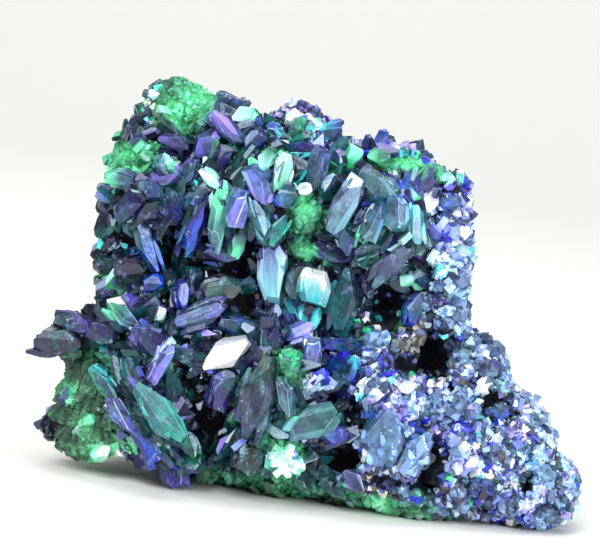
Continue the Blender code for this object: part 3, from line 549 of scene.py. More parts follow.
STEEL_DRUSE = mix_of(
    STEEL=5, SLATE=4, WHITE=0.45, PERIWINKLE=1.2, ULTRA=0.9, INDIGO=1.5, GREY_TEAL=1.5, LILAC=1,
    UMBER=0.6
)
BLUE_DRUSE = mix_of(
    STEEL=3, VIOLET=2.5, ULTRA=2, PERIWINKLE=2, WHITE=0.5, INDIGO=2, SLATE=2, LILAC=1
)
# Its white and icy crystals are painted sparkle of light on small facets.
SPARKLING = mix_of(PERIWINKLE=3, WHITE=1.6, ICE=1.6, STEEL=3, ULTRA=2, CYAN=0.6)
SILVERY = mix_of(POWDER=4, STEEL=4, SLATE=2, WHITE=0.35, GREY_TEAL=1, INDIGO=0.7)
DUSKY = mix_of(VIOLET=3, SLATE=3, STEEL=2, UMBER=1.5, LILAC=0.8, INDIGO=2)
BROWNISH = mix_of(UMBER=3, BRONZE=2, CREAM=1, STEEL=1.5, GREEN=1.5, SLATE=1.5, VIOLET=1)
SOOTY = mix_of(INK=4, UMBER=2, SLATE=2, PINE=1.5, VIOLET=0.7)
REAR = mix_of(INDIGO=4, VIOLET=2, SLATE=3, STEEL=1.5, UMBER=2, BRONZE=1, TEAL=1)

PALETTES = [
    Palette(-19.0, 38.0, MOSSY), Palette(-24.0, 33.0, MOSSY), Palette(-16.0, 32.5, VIOLET_BLADES),
    Palette(-24.2, 28.0, SOOTY), Palette(-23.6, 23.6, SOOTY), Palette(-20.5, 26.5, DARK_BLADES),
    Palette(-15.0, 25.0, DARK_BLADES), Palette(-12.0, 40.5, VIOLET_BLADES),
    Palette(-9.0, 37.0, TEAL_BLADES), Palette(-4.5, 41.0, DUSKY), Palette(-7.0, 33.0, TEAL_BLADES),
    Palette(-10.0, 28.5, DARK_BLADES), Palette(-1.5, 35.8, GLOWING), Palette(1.0, 39.0, SHOULDER),
    Palette(3.0, 31.5, TEAL_BLADES), Palette(5.0, 36.5, SHOULDER), Palette(9.0, 34.5, SHOULDER),
    Palette(13.0, 35.0, SHOULDER), Palette(12.3, 30.3, SPARKLING), Palette(9.0, 28.0, GLOWING),
    Palette(14.4, 20.5, SILVERY), Palette(13.5, 25.0, SILVERY), Palette(0.0, 27.0, DARK_BLADES),
    Palette(-2.0, 22.0, TEAL_BLADES), Palette(-11.0, 22.0, BROWNISH),
    Palette(5.5, 23.0, DARK_BLADES), Palette(-16.0, 20.0, VIOLET_BLADES),
    Palette(-19.8, 16.4, GLOWING), Palette(-23.0, 18.0, VIOLET_BLADES),
    Palette(-27.0, 14.0, BROWNISH), Palette(-28.0, 4.2, SOOTY), Palette(-20.0, 12.0, TEAL_BLADES),
    Palette(-13.0, 12.0, DARK_BLADES), Palette(-7.0, 16.0, VIOLET_BLADES),
    Palette(-2.0, 17.0, BLUE_DRUSE), Palette(2.0, 14.6, SPARKLING), Palette(4.8, 15.0, SPARKLING),
    Palette(8.5, 19.0, BROWNISH), Palette(1.0, 12.5, STEEL_DRUSE), Palette(-10.0, 7.0, DARK_BLADES),
    Palette(-16.0, 5.0, VIOLET_BLADES), Palette(-2.0, 7.0, TEAL_BLADES),
    Palette(5.0, 9.0, BLUE_DRUSE), Palette(9.0, 11.5, BLUE_DRUSE), Palette(10.0, 6.0, STEEL_DRUSE),
    Palette(15.0, 9.0, BLUE_DRUSE), Palette(16.8, 7.2, SPARKLING), Palette(14.6, 12.0, SPARKLING),
    Palette(20.0, 10.0, STEEL_DRUSE), Palette(17.0, 15.0, SILVERY),
    Palette(15.0, 19.0, STEEL_DRUSE), Palette(24.0, 8.0, SILVERY), Palette(21.0, 5.0, BLUE_DRUSE),
    Palette(8.0, 2.5, BROWNISH), Palette(18.0, 2.5, BROWNISH), Palette(26.0, 2.5, STEEL_DRUSE),
    Palette(-5.0, 3.0, BROWNISH),
]


# ---------------------------------------------------------------- crystal forms as plain arrays
Cut = tuple[tuple[float, float, float], float]

POINTED: list[Cut] = [
    ((0.75, 0.66, 0.10), 0.93),
    ((0.70, -0.71, -0.06), 0.86),
    ((-0.82, 0.57, -0.08), 0.95),
    ((-0.66, -0.75, 0.10), 0.90),
    ((0.10, 0.62, 0.78), 1.02),
]
CHISEL: list[Cut] = [
    ((0.88, 0.30, 0.38), 0.96),
    ((0.60, -0.80, 0.05), 0.93),
    ((-0.55, 0.82, 0.18), 0.95),
    ((-0.10, -0.68, 0.72), 1.02),
]
LENS: list[Cut] = [
    ((0.62, 0.78, 0.08), 0.84),
    ((0.62, -0.78, 0.08), 0.84),
    ((-0.62, 0.78, 0.08), 0.84),
    ((-0.62, -0.78, 0.08), 0.84),
]
# The finer facets that a large blade has besides.
FACETS: list[Cut] = [
    ((0.30, 0.52, 0.80), 1.14),
    ((-0.22, -0.60, 0.77), 1.12),
    ((0.93, -0.10, 0.35), 0.98),
    ((-0.90, 0.16, 0.40), 0.97),
]
STUBBY: list[Cut] = [
    ((0.66, 0.60, 0.46), 1.05),
    ((-0.62, 0.52, 0.58), 1.08),
    ((0.10, -0.80, 0.58), 1.06),
]
HABITS = [POINTED, CHISEL, LENS]


@dataclass
class Form:
    """A small closed body kept as plain arrays, so that it can be repeated.

    Attributes:
        points: V by 3 corners, in millimetres.
        loops: the corners of the faces, one after another.
        totals: how many corners each face has.
        shades: each face's painted lightness, a random light or shade that stands in for the facet
            catching more or less light.
        rims: which faces are bevels.
    """

    points: np.ndarray
    loops: np.ndarray
    totals: np.ndarray
    shades: np.ndarray
    rims: np.ndarray

    @classmethod
    def of(cls, bm: bmesh.types.BMesh, rng: np.random.Generator, rim_area: float = 0.0) -> "Form":
        """Takes a bmesh's faces, and frees it.

        Args:
            bm: the body.
            rng: gives the faces their lightness.
            rim_area: faces of a smaller area than this count as bevels.

        Returns:
            The form.
        """
        bm.normal_update()
        bm.verts.ensure_lookup_table()
        bm.verts.index_update()
        points = np.array([vertex.co[:] for vertex in bm.verts])
        loops = np.array([vertex.index for face in bm.faces for vertex in face.verts])
        totals = np.array([len(face.verts) for face in bm.faces])
        rims = np.array([face.calc_area() < rim_area for face in bm.faces])
        shades = np.exp(rng.normal(0.0, FACE_CONTRAST, len(totals)))
        bm.free()
        return cls(points, loops, totals, shades, rims)


def crystal(size: Sequence[float], habit: Iterable[Cut]) -> bmesh.types.BMesh:
    """A crystal about its own middle, its long axis along X and its broad faces along Z.

    Args:
        size: its length, width and thickness.
        habit: the cuts that shape it.

    Returns:
        A closed bmesh.
    """
    bm = bmesh.new()
    bmesh.ops.create_cube(bm, size=2)
    for direction, distance in habit:
        normal = Vector(direction).normalized()
        geometry = bm.verts[:] + bm.edges[:] + bm.faces[:]
        bmesh.ops.bisect_plane(
            bm, geom=geometry, plane_co=normal * distance, plane_no=normal, clear_outer=True
        )
        rim = [edge for edge in bm.edges if edge.is_boundary]
        if rim:
            bmesh.ops.edgeloop_fill(bm, edges=rim)
    bmesh.ops.scale(bm, vec=Vector(size) * 0.5, verts=bm.verts)
    return bm


def grains_of(habits: Iterable[list[Cut]], rng: np.random.Generator) -> list[Form]:
    """A crystal of unit size for each habit."""
    return [Form.of(crystal((1, 1, 1), habit), rng) for habit in habits]


def bevel_all(bm: bmesh.types.BMesh, offset: float) -> None:
    """Bevels every edge of a body by offset."""
    options = {"segments": 1, "profile": 0.5, "material": -1, "clamp_overlap": True}
    bmesh.ops.bevel(bm, geom=bm.edges[:], offset=offset, affect="EDGES", **options)


def mesh_of(bm: bmesh.types.BMesh, name: str) -> bpy.types.Mesh:
    """Turns a bmesh into a mesh, and frees it."""
    mesh = bpy.data.meshes.new(name)
    bm.to_mesh(mesh)
    bm.free()
    return mesh


def put(name: str, data: Any) -> bpy.types.Object:
    """Makes an object of a mesh, a light or a camera, and links it to the scene."""
    thing = bpy.data.objects.new(name, data)
    bpy.context.scene.collection.objects.link(thing)
    return thing


def points_of(mesh: bpy.types.Mesh) -> np.ndarray:
    """A mesh's points as an N by 3 array, in millimetres."""
    return np.array([vertex.co[:] for vertex in mesh.vertices]) / MM


def store(mesh: bpy.types.Mesh, **amounts: np.ndarray) -> None:
    """Keeps amounts, one for each point of a mesh, as attributes of it."""
    for name, values in amounts.items():
        attribute = mesh.attributes.new(name, "FLOAT", "POINT")
        attribute.data.foreach_set("value", values.astype(np.float32))


def unit(vectors: np.ndarray) -> np.ndarray:
    """N by 3 vectors, each brought to a length of 1."""
    return vectors / np.linalg.norm(vectors, axis=1, keepdims=True)


def spun(rng: np.random.Generator, normals: np.ndarray, tilt: float) -> np.ndarray:
    """Turns about the given normals, each tipped by a random amount.

    Args:
        rng: the source of chance.
        normals: N unit directions.
        tilt: the usual tip, in radians.

    Returns:
        N rotation matrices whose third axis is near the normal.
    """
    count = len(normals)
    up = unit(normals + rng.normal(0.0, math.tan(tilt), (count, 3)))
    side = unit(np.cross(up, rng.normal(0.0, 1.0, (count, 3))))
    return np.stack((side, np.cross(up, side), up), axis=2)


class Batch:
    """Many forms joined into one mesh, with tints on its faces' corners and a grain on its points."""

    def __init__(self) -> None:
        """Starts with nothing."""
        self.rows: list[tuple[np.ndarray, ...]] = []
        self.count = 0

    def add(
        self,
        form: Form,
        turns: np.ndarray,
        middles: np.ndarray,
        sizes: np.ndarray,
        tints: np.ndarray,
        rng: np.random.Generator,
    ) -> None:
        """Adds a copy of form for each turn, middle and size.

        Args:
            form: what is repeated.
            turns: N rotation matrices.
            middles: N places, in millimetres.
            sizes: N by 3 scales.
            tints: N by 3 colours, N by F by 3 with one for each face, or N by L by 3 with one for
                each corner of each face.
            rng: gives each copy its place in the grain.
        """
        copies, corners, faces = len(middles), len(form.points), len(form.totals)
        local = form.points[None] * sizes[:, None]
        world = np.einsum("nij,nvj->nvi", turns, local) + middles[:, None]
        shift = self.count + np.arange(copies)[:, None] * corners
        if tints.ndim == 2:
            tints = np.repeat(tints[:, None], faces, axis=1)
        if tints.shape[1] == faces:
            tints = np.repeat(tints, form.totals, axis=1)
        # Each face's painted light or shade, from its form.
        tints = tints * np.repeat(form.shades, form.totals)[None, :, None]
        loops = (form.loops[None] + shift).reshape(-1)
        totals = np.tile(form.totals, copies)
        grains = (local + rng.uniform(0, 60, (copies, 1, 3))).reshape(-1, 3)
        self.rows.append((world.reshape(-1, 3), loops, totals, tints.reshape(-1, 3), grains))
        self.count += copies * corners

    def mesh(self, name: str) -> bpy.types.Mesh:
        """The joined mesh, with its attributes tint, grain, dust and pale.

        Args:
            name: the mesh's name.

        Returns:
            The mesh, in metres.
        """
        points, loops, totals, tints, grains = (np.concatenate(part) for part in zip(*self.rows))
        points[:, 2] = np.maximum(points[:, 2], GROUND_GAP)
        mesh = bpy.data.meshes.new(name)
        mesh.vertices.add(len(points))
        mesh.vertices.foreach_set("co", (points * MM).astype(np.float32).ravel())
        mesh.loops.add(len(loops))
        mesh.loops.foreach_set("vertex_index", loops.astype(np.int32))
        mesh.polygons.add(len(totals))
        starts = np.concatenate(([0], np.cumsum(totals)[:-1]))
        mesh.polygons.foreach_set("loop_start", starts.astype(np.int32))
        mesh.update(calc_edges=True)
        colours = np.clip(np.column_stack((tints, np.ones(len(tints)))), 0, 1)
        tint = mesh.attributes.new("tint", "FLOAT_COLOR", "CORNER")
        tint.data.foreach_set("color", colours.astype(np.float32).ravel())
        grain = mesh.attributes.new("grain", "FLOAT_VECTOR", "POINT")
        grain.data.foreach_set("vector", grains.astype(np.float32).ravel())
        store(mesh, dust=malachite_at(points), pale=paleness_at(points))
        mesh.validate()
        mesh.shade_flat()
        return mesh


def malachite_at(points: np.ndarray) -> np.ndarray:
    """How thickly malachite covers the rock at points, from 0 to 1."""
    covers = [patch.cover(points, 1.15, 0.3) * strength for patch, strength in MALACHITE]
    return np.max(covers, axis=0)


def paleness_at(points: np.ndarray) -> np.ndarray:
    """How pale the malachite is at points, from 0 to 1."""
    across, heights = SHEET.seen(points).T
    spots = [np.hypot(across - x, heights - height) / wide for x, height, wide in PALE_MALACHITE]
    return np.exp(-(np.min(spots, axis=0) ** 2)) * (points[:, 1] < FRONT_END)


def malachite_tints(points: np.ndarray, rng: np.random.Generator) -> np.ndarray:
    """Tints for malachite at points.

    Args:
        points: N places, in millimetres.
        rng: the source of chance.

    Returns:
        N by 3 linear colours.
    """
    light = paleness_at(points) * rng.uniform(0.7, 1.0, len(points))
    light = np.maximum(light, rng.uniform(0, 0.38, len(points)))
    stops = (0.0, 0.75, 1.0)
    greens = ((0.006, 0.085, 0.045), (0.110, 0.730, 0.310), (0.430, 0.990, 0.730))
    return np.column_stack([np.interp(light, stops, part) for part in zip(*greens)])


def hollow_at(points: np.ndarray) -> np.ndarray:
    """How deep in a hollow points lie, from 0 to 1."""
    return np.max([hollow.cover(points, 1.35, 0.35) for hollow in HOLLOWS], axis=0)


def vug_at(points: np.ndarray) -> np.ndarray:
    """How deep in one of the ragged black openings of the front points lie, from 0 to 1."""
    across, heights = SHEET.seen(points).T
    aways = [np.hypot((across - x) / wide, (heights - height) / tall) for x, height, wide, tall in VUGS]
    ragged = np.min(aways, axis=0) + 0.45 * noise_at(points, 1.3, 11.0)
    return (1 - ramp(ragged, 0.9, 1.25)) * (points[:, 1] < FRONT_END)


def noise_at(points: np.ndarray, size: float, shift: float) -> np.ndarray:
    """Smooth noise at points, with bumps of about that size, from -1 to 1."""
    return np.array([noise.noise(Vector(point) / size + Vector((shift,) * 3)) for point in points])


def crevice_at(points: np.ndarray) -> np.ndarray:
    """How deep in a crevice between the druse's clumps points lie, from 0 to 1."""
    ridges = np.abs(noise_at(points, 3.6, 7.0))
    return 1 - ramp(ridges, 0.04, 0.19)


def ramp(values: np.ndarray, low: float, high: float) -> np.ndarray:
    """0 where values are at low, 1 where they are at high, and between them in between."""
    return np.clip((values - low) / (high - low), 0, 1)


def leaders_of(points: np.ndarray, each: int, rng: np.random.Generator) -> np.ndarray:
    """The index of the point that leads each point's cluster, each being a cluster's usual size."""
    leaders = rng.choice(len(points), max(len(points) // each, 1), replace=False)
    tree = KDTree(len(leaders))
    for leader in leaders.tolist():
        tree.insert(points[leader], leader)
    tree.balance()
    return np.array([tree.find(point)[1] for point in points])


def nearest_spot(
    points: np.ndarray, spots: Sequence[Any], stray: float, rng: np.random.Generator
) -> np.ndarray:
    """The index of the spot on the sheet that shows nearest to each point.

    Args:
        points: N places, in millimetres.
        spots: palettes or blades, which have an x and a height.
        stray: how far chance moves the points first.
        rng: the source of chance.

    Returns:
        N indices.
    """
    seen = SHEET.seen(points) + rng.normal(0, stray, (len(points), 2))
    places = np.array([(spot.x, spot.height) for spot in spots])
    return np.argmin(((seen[:, None] - places[None]) ** 2).sum(axis=2), axis=1)


def choose_tints(points: np.ndarray, normals: np.ndarray, rng: np.random.Generator) -> np.ndarray:
    """A tint for each small crystal, by the palette of its place.

    Args:
        points: N places, in millimetres.
        normals: N directions of the rock's skin.
        rng: the source of chance.

    Returns:
        N by 3 linear colours.
    """
    nearest = nearest_spot(points, PALETTES, STRAY, rng)
    nearest[(normals[:, 1] > REAR_FACING) | (points[:, 1] > REAR_START)] = len(PALETTES)
    tints = np.zeros((len(points), 3))
    for index, mix in enumerate([palette.mix for palette in PALETTES] + [REAR]):
        here = np.flatnonzero(nearest == index)
        colours = np.array([hue.value for hue in mix])
        shares = np.array(list(mix.values()))
        tints[here] = colours[rng.choice(len(colours), len(here), p=shares / shares.sum())]
    alike = rng.random(len(points)) < ALIKE
    tints[alike] = tints[leaders_of(points, CLUSTER, rng)[alike]]
    return tints * np.exp(rng.normal(0, CRYSTAL_CONTRAST, (len(points), 1)))


# ---------------------------------------------------------------- materials
Number = Union[float, int]


class Stain(Enum):
    """The colours that the materials lay over the tints, as linear red, green and blue."""

    TEAL_DRIFT = (0.012, 0.110, 0.105)
    VIOLET_DRIFT = (0.060, 0.035, 0.170)
    INKY_CLOUD = (0.006, 0.009, 0.022)
    BLUE_VEIL = (0.180, 0.330, 0.480)
    GROWTH_LINE = (0.9, 0.9, 0.95)
    SPECK = (0.45, 0.55, 0.70)
    DUST_DARK = (0.012, 0.110, 0.055)
    DUST_LIGHT = (0.100, 0.430, 0.240)
    DUST_PALE = (0.130, 0.780, 0.340)
    ROCK_GREEN = (0.030, 0.115, 0.065)
    ROCK_AZURE = (0.100, 0.140, 0.260)
    VELVET_DARK = (0.008, 0.070, 0.036)
    VELVET_LIGHT = (0.090, 0.380, 0.200)
    VELVET_PALE = (0.120, 0.740, 0.300)
    ROCK_GRAIN = (0.3, 0.32, 0.4)
    HOLLOW_BLACK = (0.004, 0.004, 0.008)
    SILK_SHADOW = (0.005, 0.026, 0.019)
    SILK_CLOUD = (0.005, 0.042, 0.025)
    SILK_SPECK = (0.300, 0.900, 0.560)
    PAPER_FIBRE = (0.80, 0.79, 0.77)


class Value:
    """A socket that carries numbers, on which sums are written as sums."""

    def __init__(self, kit: "Nodes", socket: bpy.types.NodeSocket) -> None:
        self.kit = kit
        self.socket = socket

    def _math(self, operation: str, first: Any, second: Any) -> "Value":
        """One Math node on two numbers or sockets."""
        node = self.kit.node("ShaderNodeMath", {"operation": operation}, {0: first, 1: second})
        return Value(self.kit, node.outputs[0])

    def __add__(self, other: Union["Value", Number]) -> "Value":
        """self + other."""
        return self._math("ADD", self, other)

    def __radd__(self, other: Number) -> "Value":
        """other + self."""
        return self._math("ADD", other, self)

    def __sub__(self, other: Union["Value", Number]) -> "Value":
        """self - other."""
        return self._math("SUBTRACT", self, other)

    def __rsub__(self, other: Number) -> "Value":
        """other - self."""
        return self._math("SUBTRACT", other, self)

    def __mul__(self, other: Union["Value", Number]) -> "Value":
        """self * other."""
        return self._math("MULTIPLY", self, other)

    def __rmul__(self, other: Number) -> "Value":
        """other * self."""
        return self._math("MULTIPLY", other, self)

    def step(self, low: float, high: float) -> "Value":
        """0 below low, 1 above high, and a smooth change between them."""
        node = self.kit.node(
            "ShaderNodeMapRange",
            {"interpolation_type": "SMOOTHSTEP"},
            {"Value": self, "From Min": low, "From Max": high},
        )
        return Value(self.kit, node.outputs[0])


class Nodes:
    """The node tree of one material, with one method that adds any node."""

    def __init__(self, name: str) -> None:
        """Makes an empty material of that name."""
        self.material = bpy.data.materials.new(name)
        self.material.use_nodes = True
        self.tree = self.material.node_tree
        self.tree.nodes.clear()

    def node(
        self,
        kind: str,
        settings: Optional[dict[str, Any]] = None,
        inputs: Optional[dict[Union[int, str], Any]] = None,
    ) -> bpy.types.Node:
        """Adds a node.

        Args:
            kind: the node's type.
            settings: its properties, set first.
            inputs: the values of its sockets, or the sockets that feed them.

        Returns:
            The node.
        """
        node = self.tree.nodes.new(kind)
        for key, value in (settings or {}).items():
            setattr(node, key, value)
        for key, value in (inputs or {}).items():
            if isinstance(value, Stain):
                value = value.value
            if isinstance(value, Value):
                value = value.socket
            if isinstance(value, bpy.types.NodeSocket):
                self.tree.links.new(value, node.inputs[key])
            elif isinstance(value, tuple) and node.inputs[key].type == "RGBA":
                node.inputs[key].default_value = (*value[:3], 1.0)
            else:
                node.inputs[key].default_value = value
        return node

    def place(self) -> bpy.types.NodeSocket:
        """Each point's place on the object, in metres."""
        return self.node("ShaderNodeTexCoord").outputs["Object"]

    def attribute(self, name: str, output: str) -> bpy.types.NodeSocket:
        """A named attribute of the mesh, read as a Color or a Vector or, with Fac, as a number."""
        return self.node("ShaderNodeAttribute", {"attribute_name": name}).outputs[output]

    def amount(self, name: str) -> Value:
        """A named attribute of the mesh, as a number."""
        return Value(self, self.attribute(name, "Fac"))

    def stretched(self, vector: bpy.types.NodeSocket, scale: Colour) -> bpy.types.NodeSocket:
        """vector, scaled on each axis."""
        return self.node("ShaderNodeMapping", None, {"Vector": vector, "Scale": scale}).outputs[0]

    def noise(
        self, vector: bpy.types.NodeSocket, scale: float, detail: float = 3.0, rough: float = 0.55
    ) -> Value:
        """A noise from 0 to 1.

        Args:
            vector: the coordinates.
            scale: its fineness.
            detail: its octaves.
            rough: how strong the finer octaves are.

        Returns:
            The noise's value.
        """
        inputs = {"Vector": vector, "Scale": scale, "Detail": detail, "Roughness": rough}
        return Value(self, self.node("ShaderNodeTexNoise", None, inputs).outputs[0])

    def cells(self, vector: bpy.types.NodeSocket, scale: float) -> Value:
        """The distance to the nearest of many scattered points, from 0 upwards."""
        node = self.node("ShaderNodeTexVoronoi", None, {"Vector": vector, "Scale": scale})
        return Value(self, node.outputs["Distance"])

    def mix(self, factor: Any, first: Any, second: Any, blend: str = "MIX") -> bpy.types.NodeSocket:
        """A colour between two.

        Args:
            factor: how much of the second.
            first: a colour or a socket.
            second: a colour or a socket.
            blend: how they are blended.

        Returns:
            The mixed colour.
        """
        settings = {"data_type": "RGBA", "blend_type": blend, "clamp_result": True}
        node = self.node("ShaderNodeMix", settings, {0: factor, 6: first, 7: second})
        return node.outputs[2]

    def bump(self, height: Any, strength: float, distance: float) -> bpy.types.NodeSocket:
        """A normal bent by a height, distance being the height's full size in metres."""
        inputs = {"Height": height, "Strength": strength, "Distance": distance}
        return self.node("ShaderNodeBump", None, inputs).outputs[0]

    def finish(self, **inputs: Any) -> bpy.types.Material:
        """Ends the tree in a Principled shader.

        Args:
            inputs: the shader's sockets, with an underscore for each space.

        Returns:
            The material.
        """
        sockets = {key.replace("_", " "): value for key, value in inputs.items()}
        shader = self.node("ShaderNodeBsdfPrincipled", None, sockets)
        self.node("ShaderNodeOutputMaterial", None, {"Surface": shader.outputs[0]})
        return self.material


@dataclass(frozen=True)
class AzuriteFinish:
    """Glassy azurite, dusted here and there with malachite.

    Attributes:
        roughness: of a clean face.
        index: of refraction.
        striation: strength of the growth lines along the crystals.
        frost: share of the surface under pale specks painted as sparkle.
        depth: how much the dark tints deepen against the pale ones.
    """

    roughness: float = 0.15
    index: float = 1.76
    striation: float = 0.35
    frost: float = 0.5
    depth: float = 1.6

    def material(self, name: str) -> bpy.types.Material:
        """The finish as a material of that name."""
        kit = Nodes(name)
        place = kit.place()
        tint = kit.attribute("tint", "Color")
        tint = kit.node("ShaderNodeGamma", None, {"Color": tint, "Gamma": self.depth}).outputs[0]
        grain = kit.attribute("grain", "Vector")
        dust = kit.amount("dust")
        grey = kit.node("ShaderNodeRGBToBW", None, {"Color": tint})
        dark = 1.0 - Value(kit, grey.outputs[0]).step(0.12, 0.34)
        drift = kit.noise(place, 330.0, 3.0)
        clouds = kit.noise(place, 900.0, 4.0)
        fine = kit.noise(place, 3200.0, 3.0)
        lines = kit.noise(kit.stretched(grain, (0.35, 4.0, 4.0)), 1.0, 2.0)
        colour = kit.mix(drift.step(0.47, 0.60) * dark * 0.50, tint, Stain.TEAL_DRIFT)
        colour = kit.mix(drift.step(0.50, 0.38) * dark * 0.25, colour, Stain.VIOLET_DRIFT)
        colour = kit.mix(clouds.step(0.42, 0.66) * dark * 0.75, colour, Stain.INKY_CLOUD)
        veil = kit.noise(kit.stretched(place, (1.0, 1.0, 0.7)), 700.0, 5.0, 0.65)
        colour = kit.mix(veil.step(0.54, 0.66) * 0.30, colour, Stain.BLUE_VEIL)
        colour = kit.mix(lines.step(0.35, 0.70) * 0.45, colour, Stain.GROWTH_LINE, "OVERLAY")
        # Pale specks painted as sparkle of light on the faces.
        specks = fine.step(0.58, 0.72) * (veil.step(0.50, 0.62) * 0.85 + 0.15) * self.frost
        colour = kit.mix(specks, colour, Stain.SPECK)
        velvet = (dust * 1.1 - kit.noise(place, 620.0, 4.0)).step(0.20, 0.48) * 0.8
        green = kit.mix(fine.step(0.35, 0.70), Stain.DUST_DARK, Stain.DUST_LIGHT)
        green = kit.mix(kit.amount("pale"), green, Stain.DUST_PALE)
        colour = kit.mix(velvet, colour, green)
        height = lines * 0.7 + clouds * 0.8 + fine * 0.12 + velvet * fine
        return kit.finish(
            Base_Color=colour,
            Roughness=self.roughness + clouds.step(0.45, 0.80) * 0.16 + velvet * 0.45,
            IOR=self.index,
            Specular_Tint=(0.64, 0.75, 1.0),
            Normal=kit.bump(height, self.striation, 0.00010),
        )


@dataclass(frozen=True)
class MatrixFinish:
    """Brown rock, stained green by malachite and blue by azurite grains, and painted near black as shade
    where it lies deep among the crystals.

    Attributes:
        dark: the darkest of its browns.
        light: the lightest of them.
        ochre: of its rusty spots.
    """

    dark: Colour = (0.016, 0.012, 0.011)
    light: Colour = (0.105, 0.066, 0.040)
    ochre: Colour = (0.250, 0.150, 0.065)

    def material(self, name: str) -> bpy.types.Material:
        """The finish as a material of that name."""
        kit = Nodes(name)
        place = kit.place()
        dust = kit.amount("dust")
        deep = kit.amount("deep")
        frost = kit.amount("frost")
        broad = kit.noise(place, 160.0, 5.0, 0.6)
        fine = kit.noise(place, 1500.0, 5.0, 0.7)
        grains = kit.cells(place, 1900.0)
        colour = kit.mix(broad.step(0.38, 0.62), self.dark, self.light)
        colour = kit.mix((broad * fine).step(0.30, 0.42) * 0.8, colour, self.ochre)
        stain = kit.noise(place, 300.0, 4.0).step(0.52, 0.66)
        colour = kit.mix(stain * 0.45, colour, Stain.ROCK_GREEN)
        azure = kit.noise(kit.stretched(place, (1.0, 1.3, 1.0)), 420.0, 4.0).step(0.50, 0.64)
        colour = kit.mix((azure * 0.4 + frost * 0.6).step(0.2, 0.9), colour, Stain.ROCK_AZURE)
        velvet = (dust * 1.5 - fine * 0.9).step(0.05, 0.45)
        green = kit.mix(fine.step(0.35, 0.68), Stain.VELVET_DARK, Stain.VELVET_LIGHT)
        green = kit.mix(kit.amount("pale"), green, Stain.VELVET_PALE)
        colour = kit.mix(velvet * 0.9, colour, green)
        colour = kit.mix(grains.step(0.55, 0.15) * 0.25, colour, Stain.ROCK_GRAIN)
        # Painted shade: where deep is high the rock turns near black.
        colour = kit.mix(deep * 0.97, colour, Stain.HOLLOW_BLACK)
        height = fine * 0.6 + grains * 0.4
        return kit.finish(
            Base_Color=colour,
            Roughness=0.85 - grains.step(0.5, 0.1) * 0.35,
            Specular_IOR_Level=0.2,
            Normal=kit.bump(height, 0.8, 0.0003),
        )


@dataclass(frozen=True)
class MalachiteFinish:
    """Silky green malachite.

    Attributes:
        roughness: of its surface.
        speckle: strength of its pale specks.
    """

    roughness: float
    speckle: float

    def material(self, name: str) -> bpy.types.Material:
        """The finish as a material of that name."""
        kit = Nodes(name)
        place = kit.place()
        tint = kit.attribute("tint", "Color")
        grain = kit.attribute("grain", "Vector")
        broad = kit.noise(place, 300.0, 3.0)
        clouds = kit.noise(place, 820.0, 4.0)
        fine = kit.noise(place, 3600.0, 3.0, 0.7)
        threads = kit.noise(kit.stretched(grain, (0.4, 7.0, 7.0)), 1.0, 2.0)
        shadow_and_cloud_mask = 1.0 - kit.amount("pale")
        # Painted shadow in broad patches, and darker clouds, where the malachite isn't pale.
        colour = kit.mix(broad.step(0.48, 0.58) * shadow_and_cloud_mask * 0.75, tint, Stain.SILK_SHADOW)
        colour = kit.mix(clouds.step(0.50, 0.60) * shadow_and_cloud_mask * 0.65, colour, Stain.SILK_CLOUD)
        colour = kit.mix(fine.step(0.52, 0.70) * self.speckle, colour, Stain.SILK_SPECK)
        return kit.finish(
            Base_Color=colour,
            Roughness=self.roughness + fine * 0.25,
            Normal=kit.bump(threads * 0.6 + fine * 0.6, 0.6, 0.00012),
        )


@dataclass(frozen=True)
class PaperFinish:
    """The pale, even surface that the specimen is shown on.

    Attributes:
        colour: of the surface.
    """

    colour: Colour = (0.885, 0.885, 0.850)

    def material(self, name: str) -> bpy.types.Material:
        """The finish as a material of that name."""
        kit = Nodes(name)
        fibre = kit.noise(kit.place(), 260.0, 4.0)
        colour = kit.mix(fibre.step(0.3, 0.7) * 0.04, self.colour, Stain.PAPER_FIBRE)
        return kit.finish(
            Base_Color=colour,
            Roughness=0.75 + fibre * 0.1,
            Normal=kit.bump(fibre, 0.1, 0.0002),
        )


Finish = Union[AzuriteFinish, MatrixFinish, MalachiteFinish]


def finish_piece(mesh: bpy.types.Mesh, name: str, finish: Finish, coat: str = "") -> None:
    """Puts a mesh into the scene as a piece of the specimen.

    Args:
        mesh: in metres, in the specimen's own frame.
        name: the piece's name.
        finish: its surface.
        coat: its material's name, when that isn't the piece's.
    """
    mesh.materials.clear()
    mesh.materials.append(finish.material(coat or name))
    piece = put(name, mesh)
    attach(piece, BODY)
    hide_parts(NODE)
    faces = sum(len(polygon.vertices) - 2 for polygon in mesh.polygons)
    log.info("%s: %d triangles", name, faces)


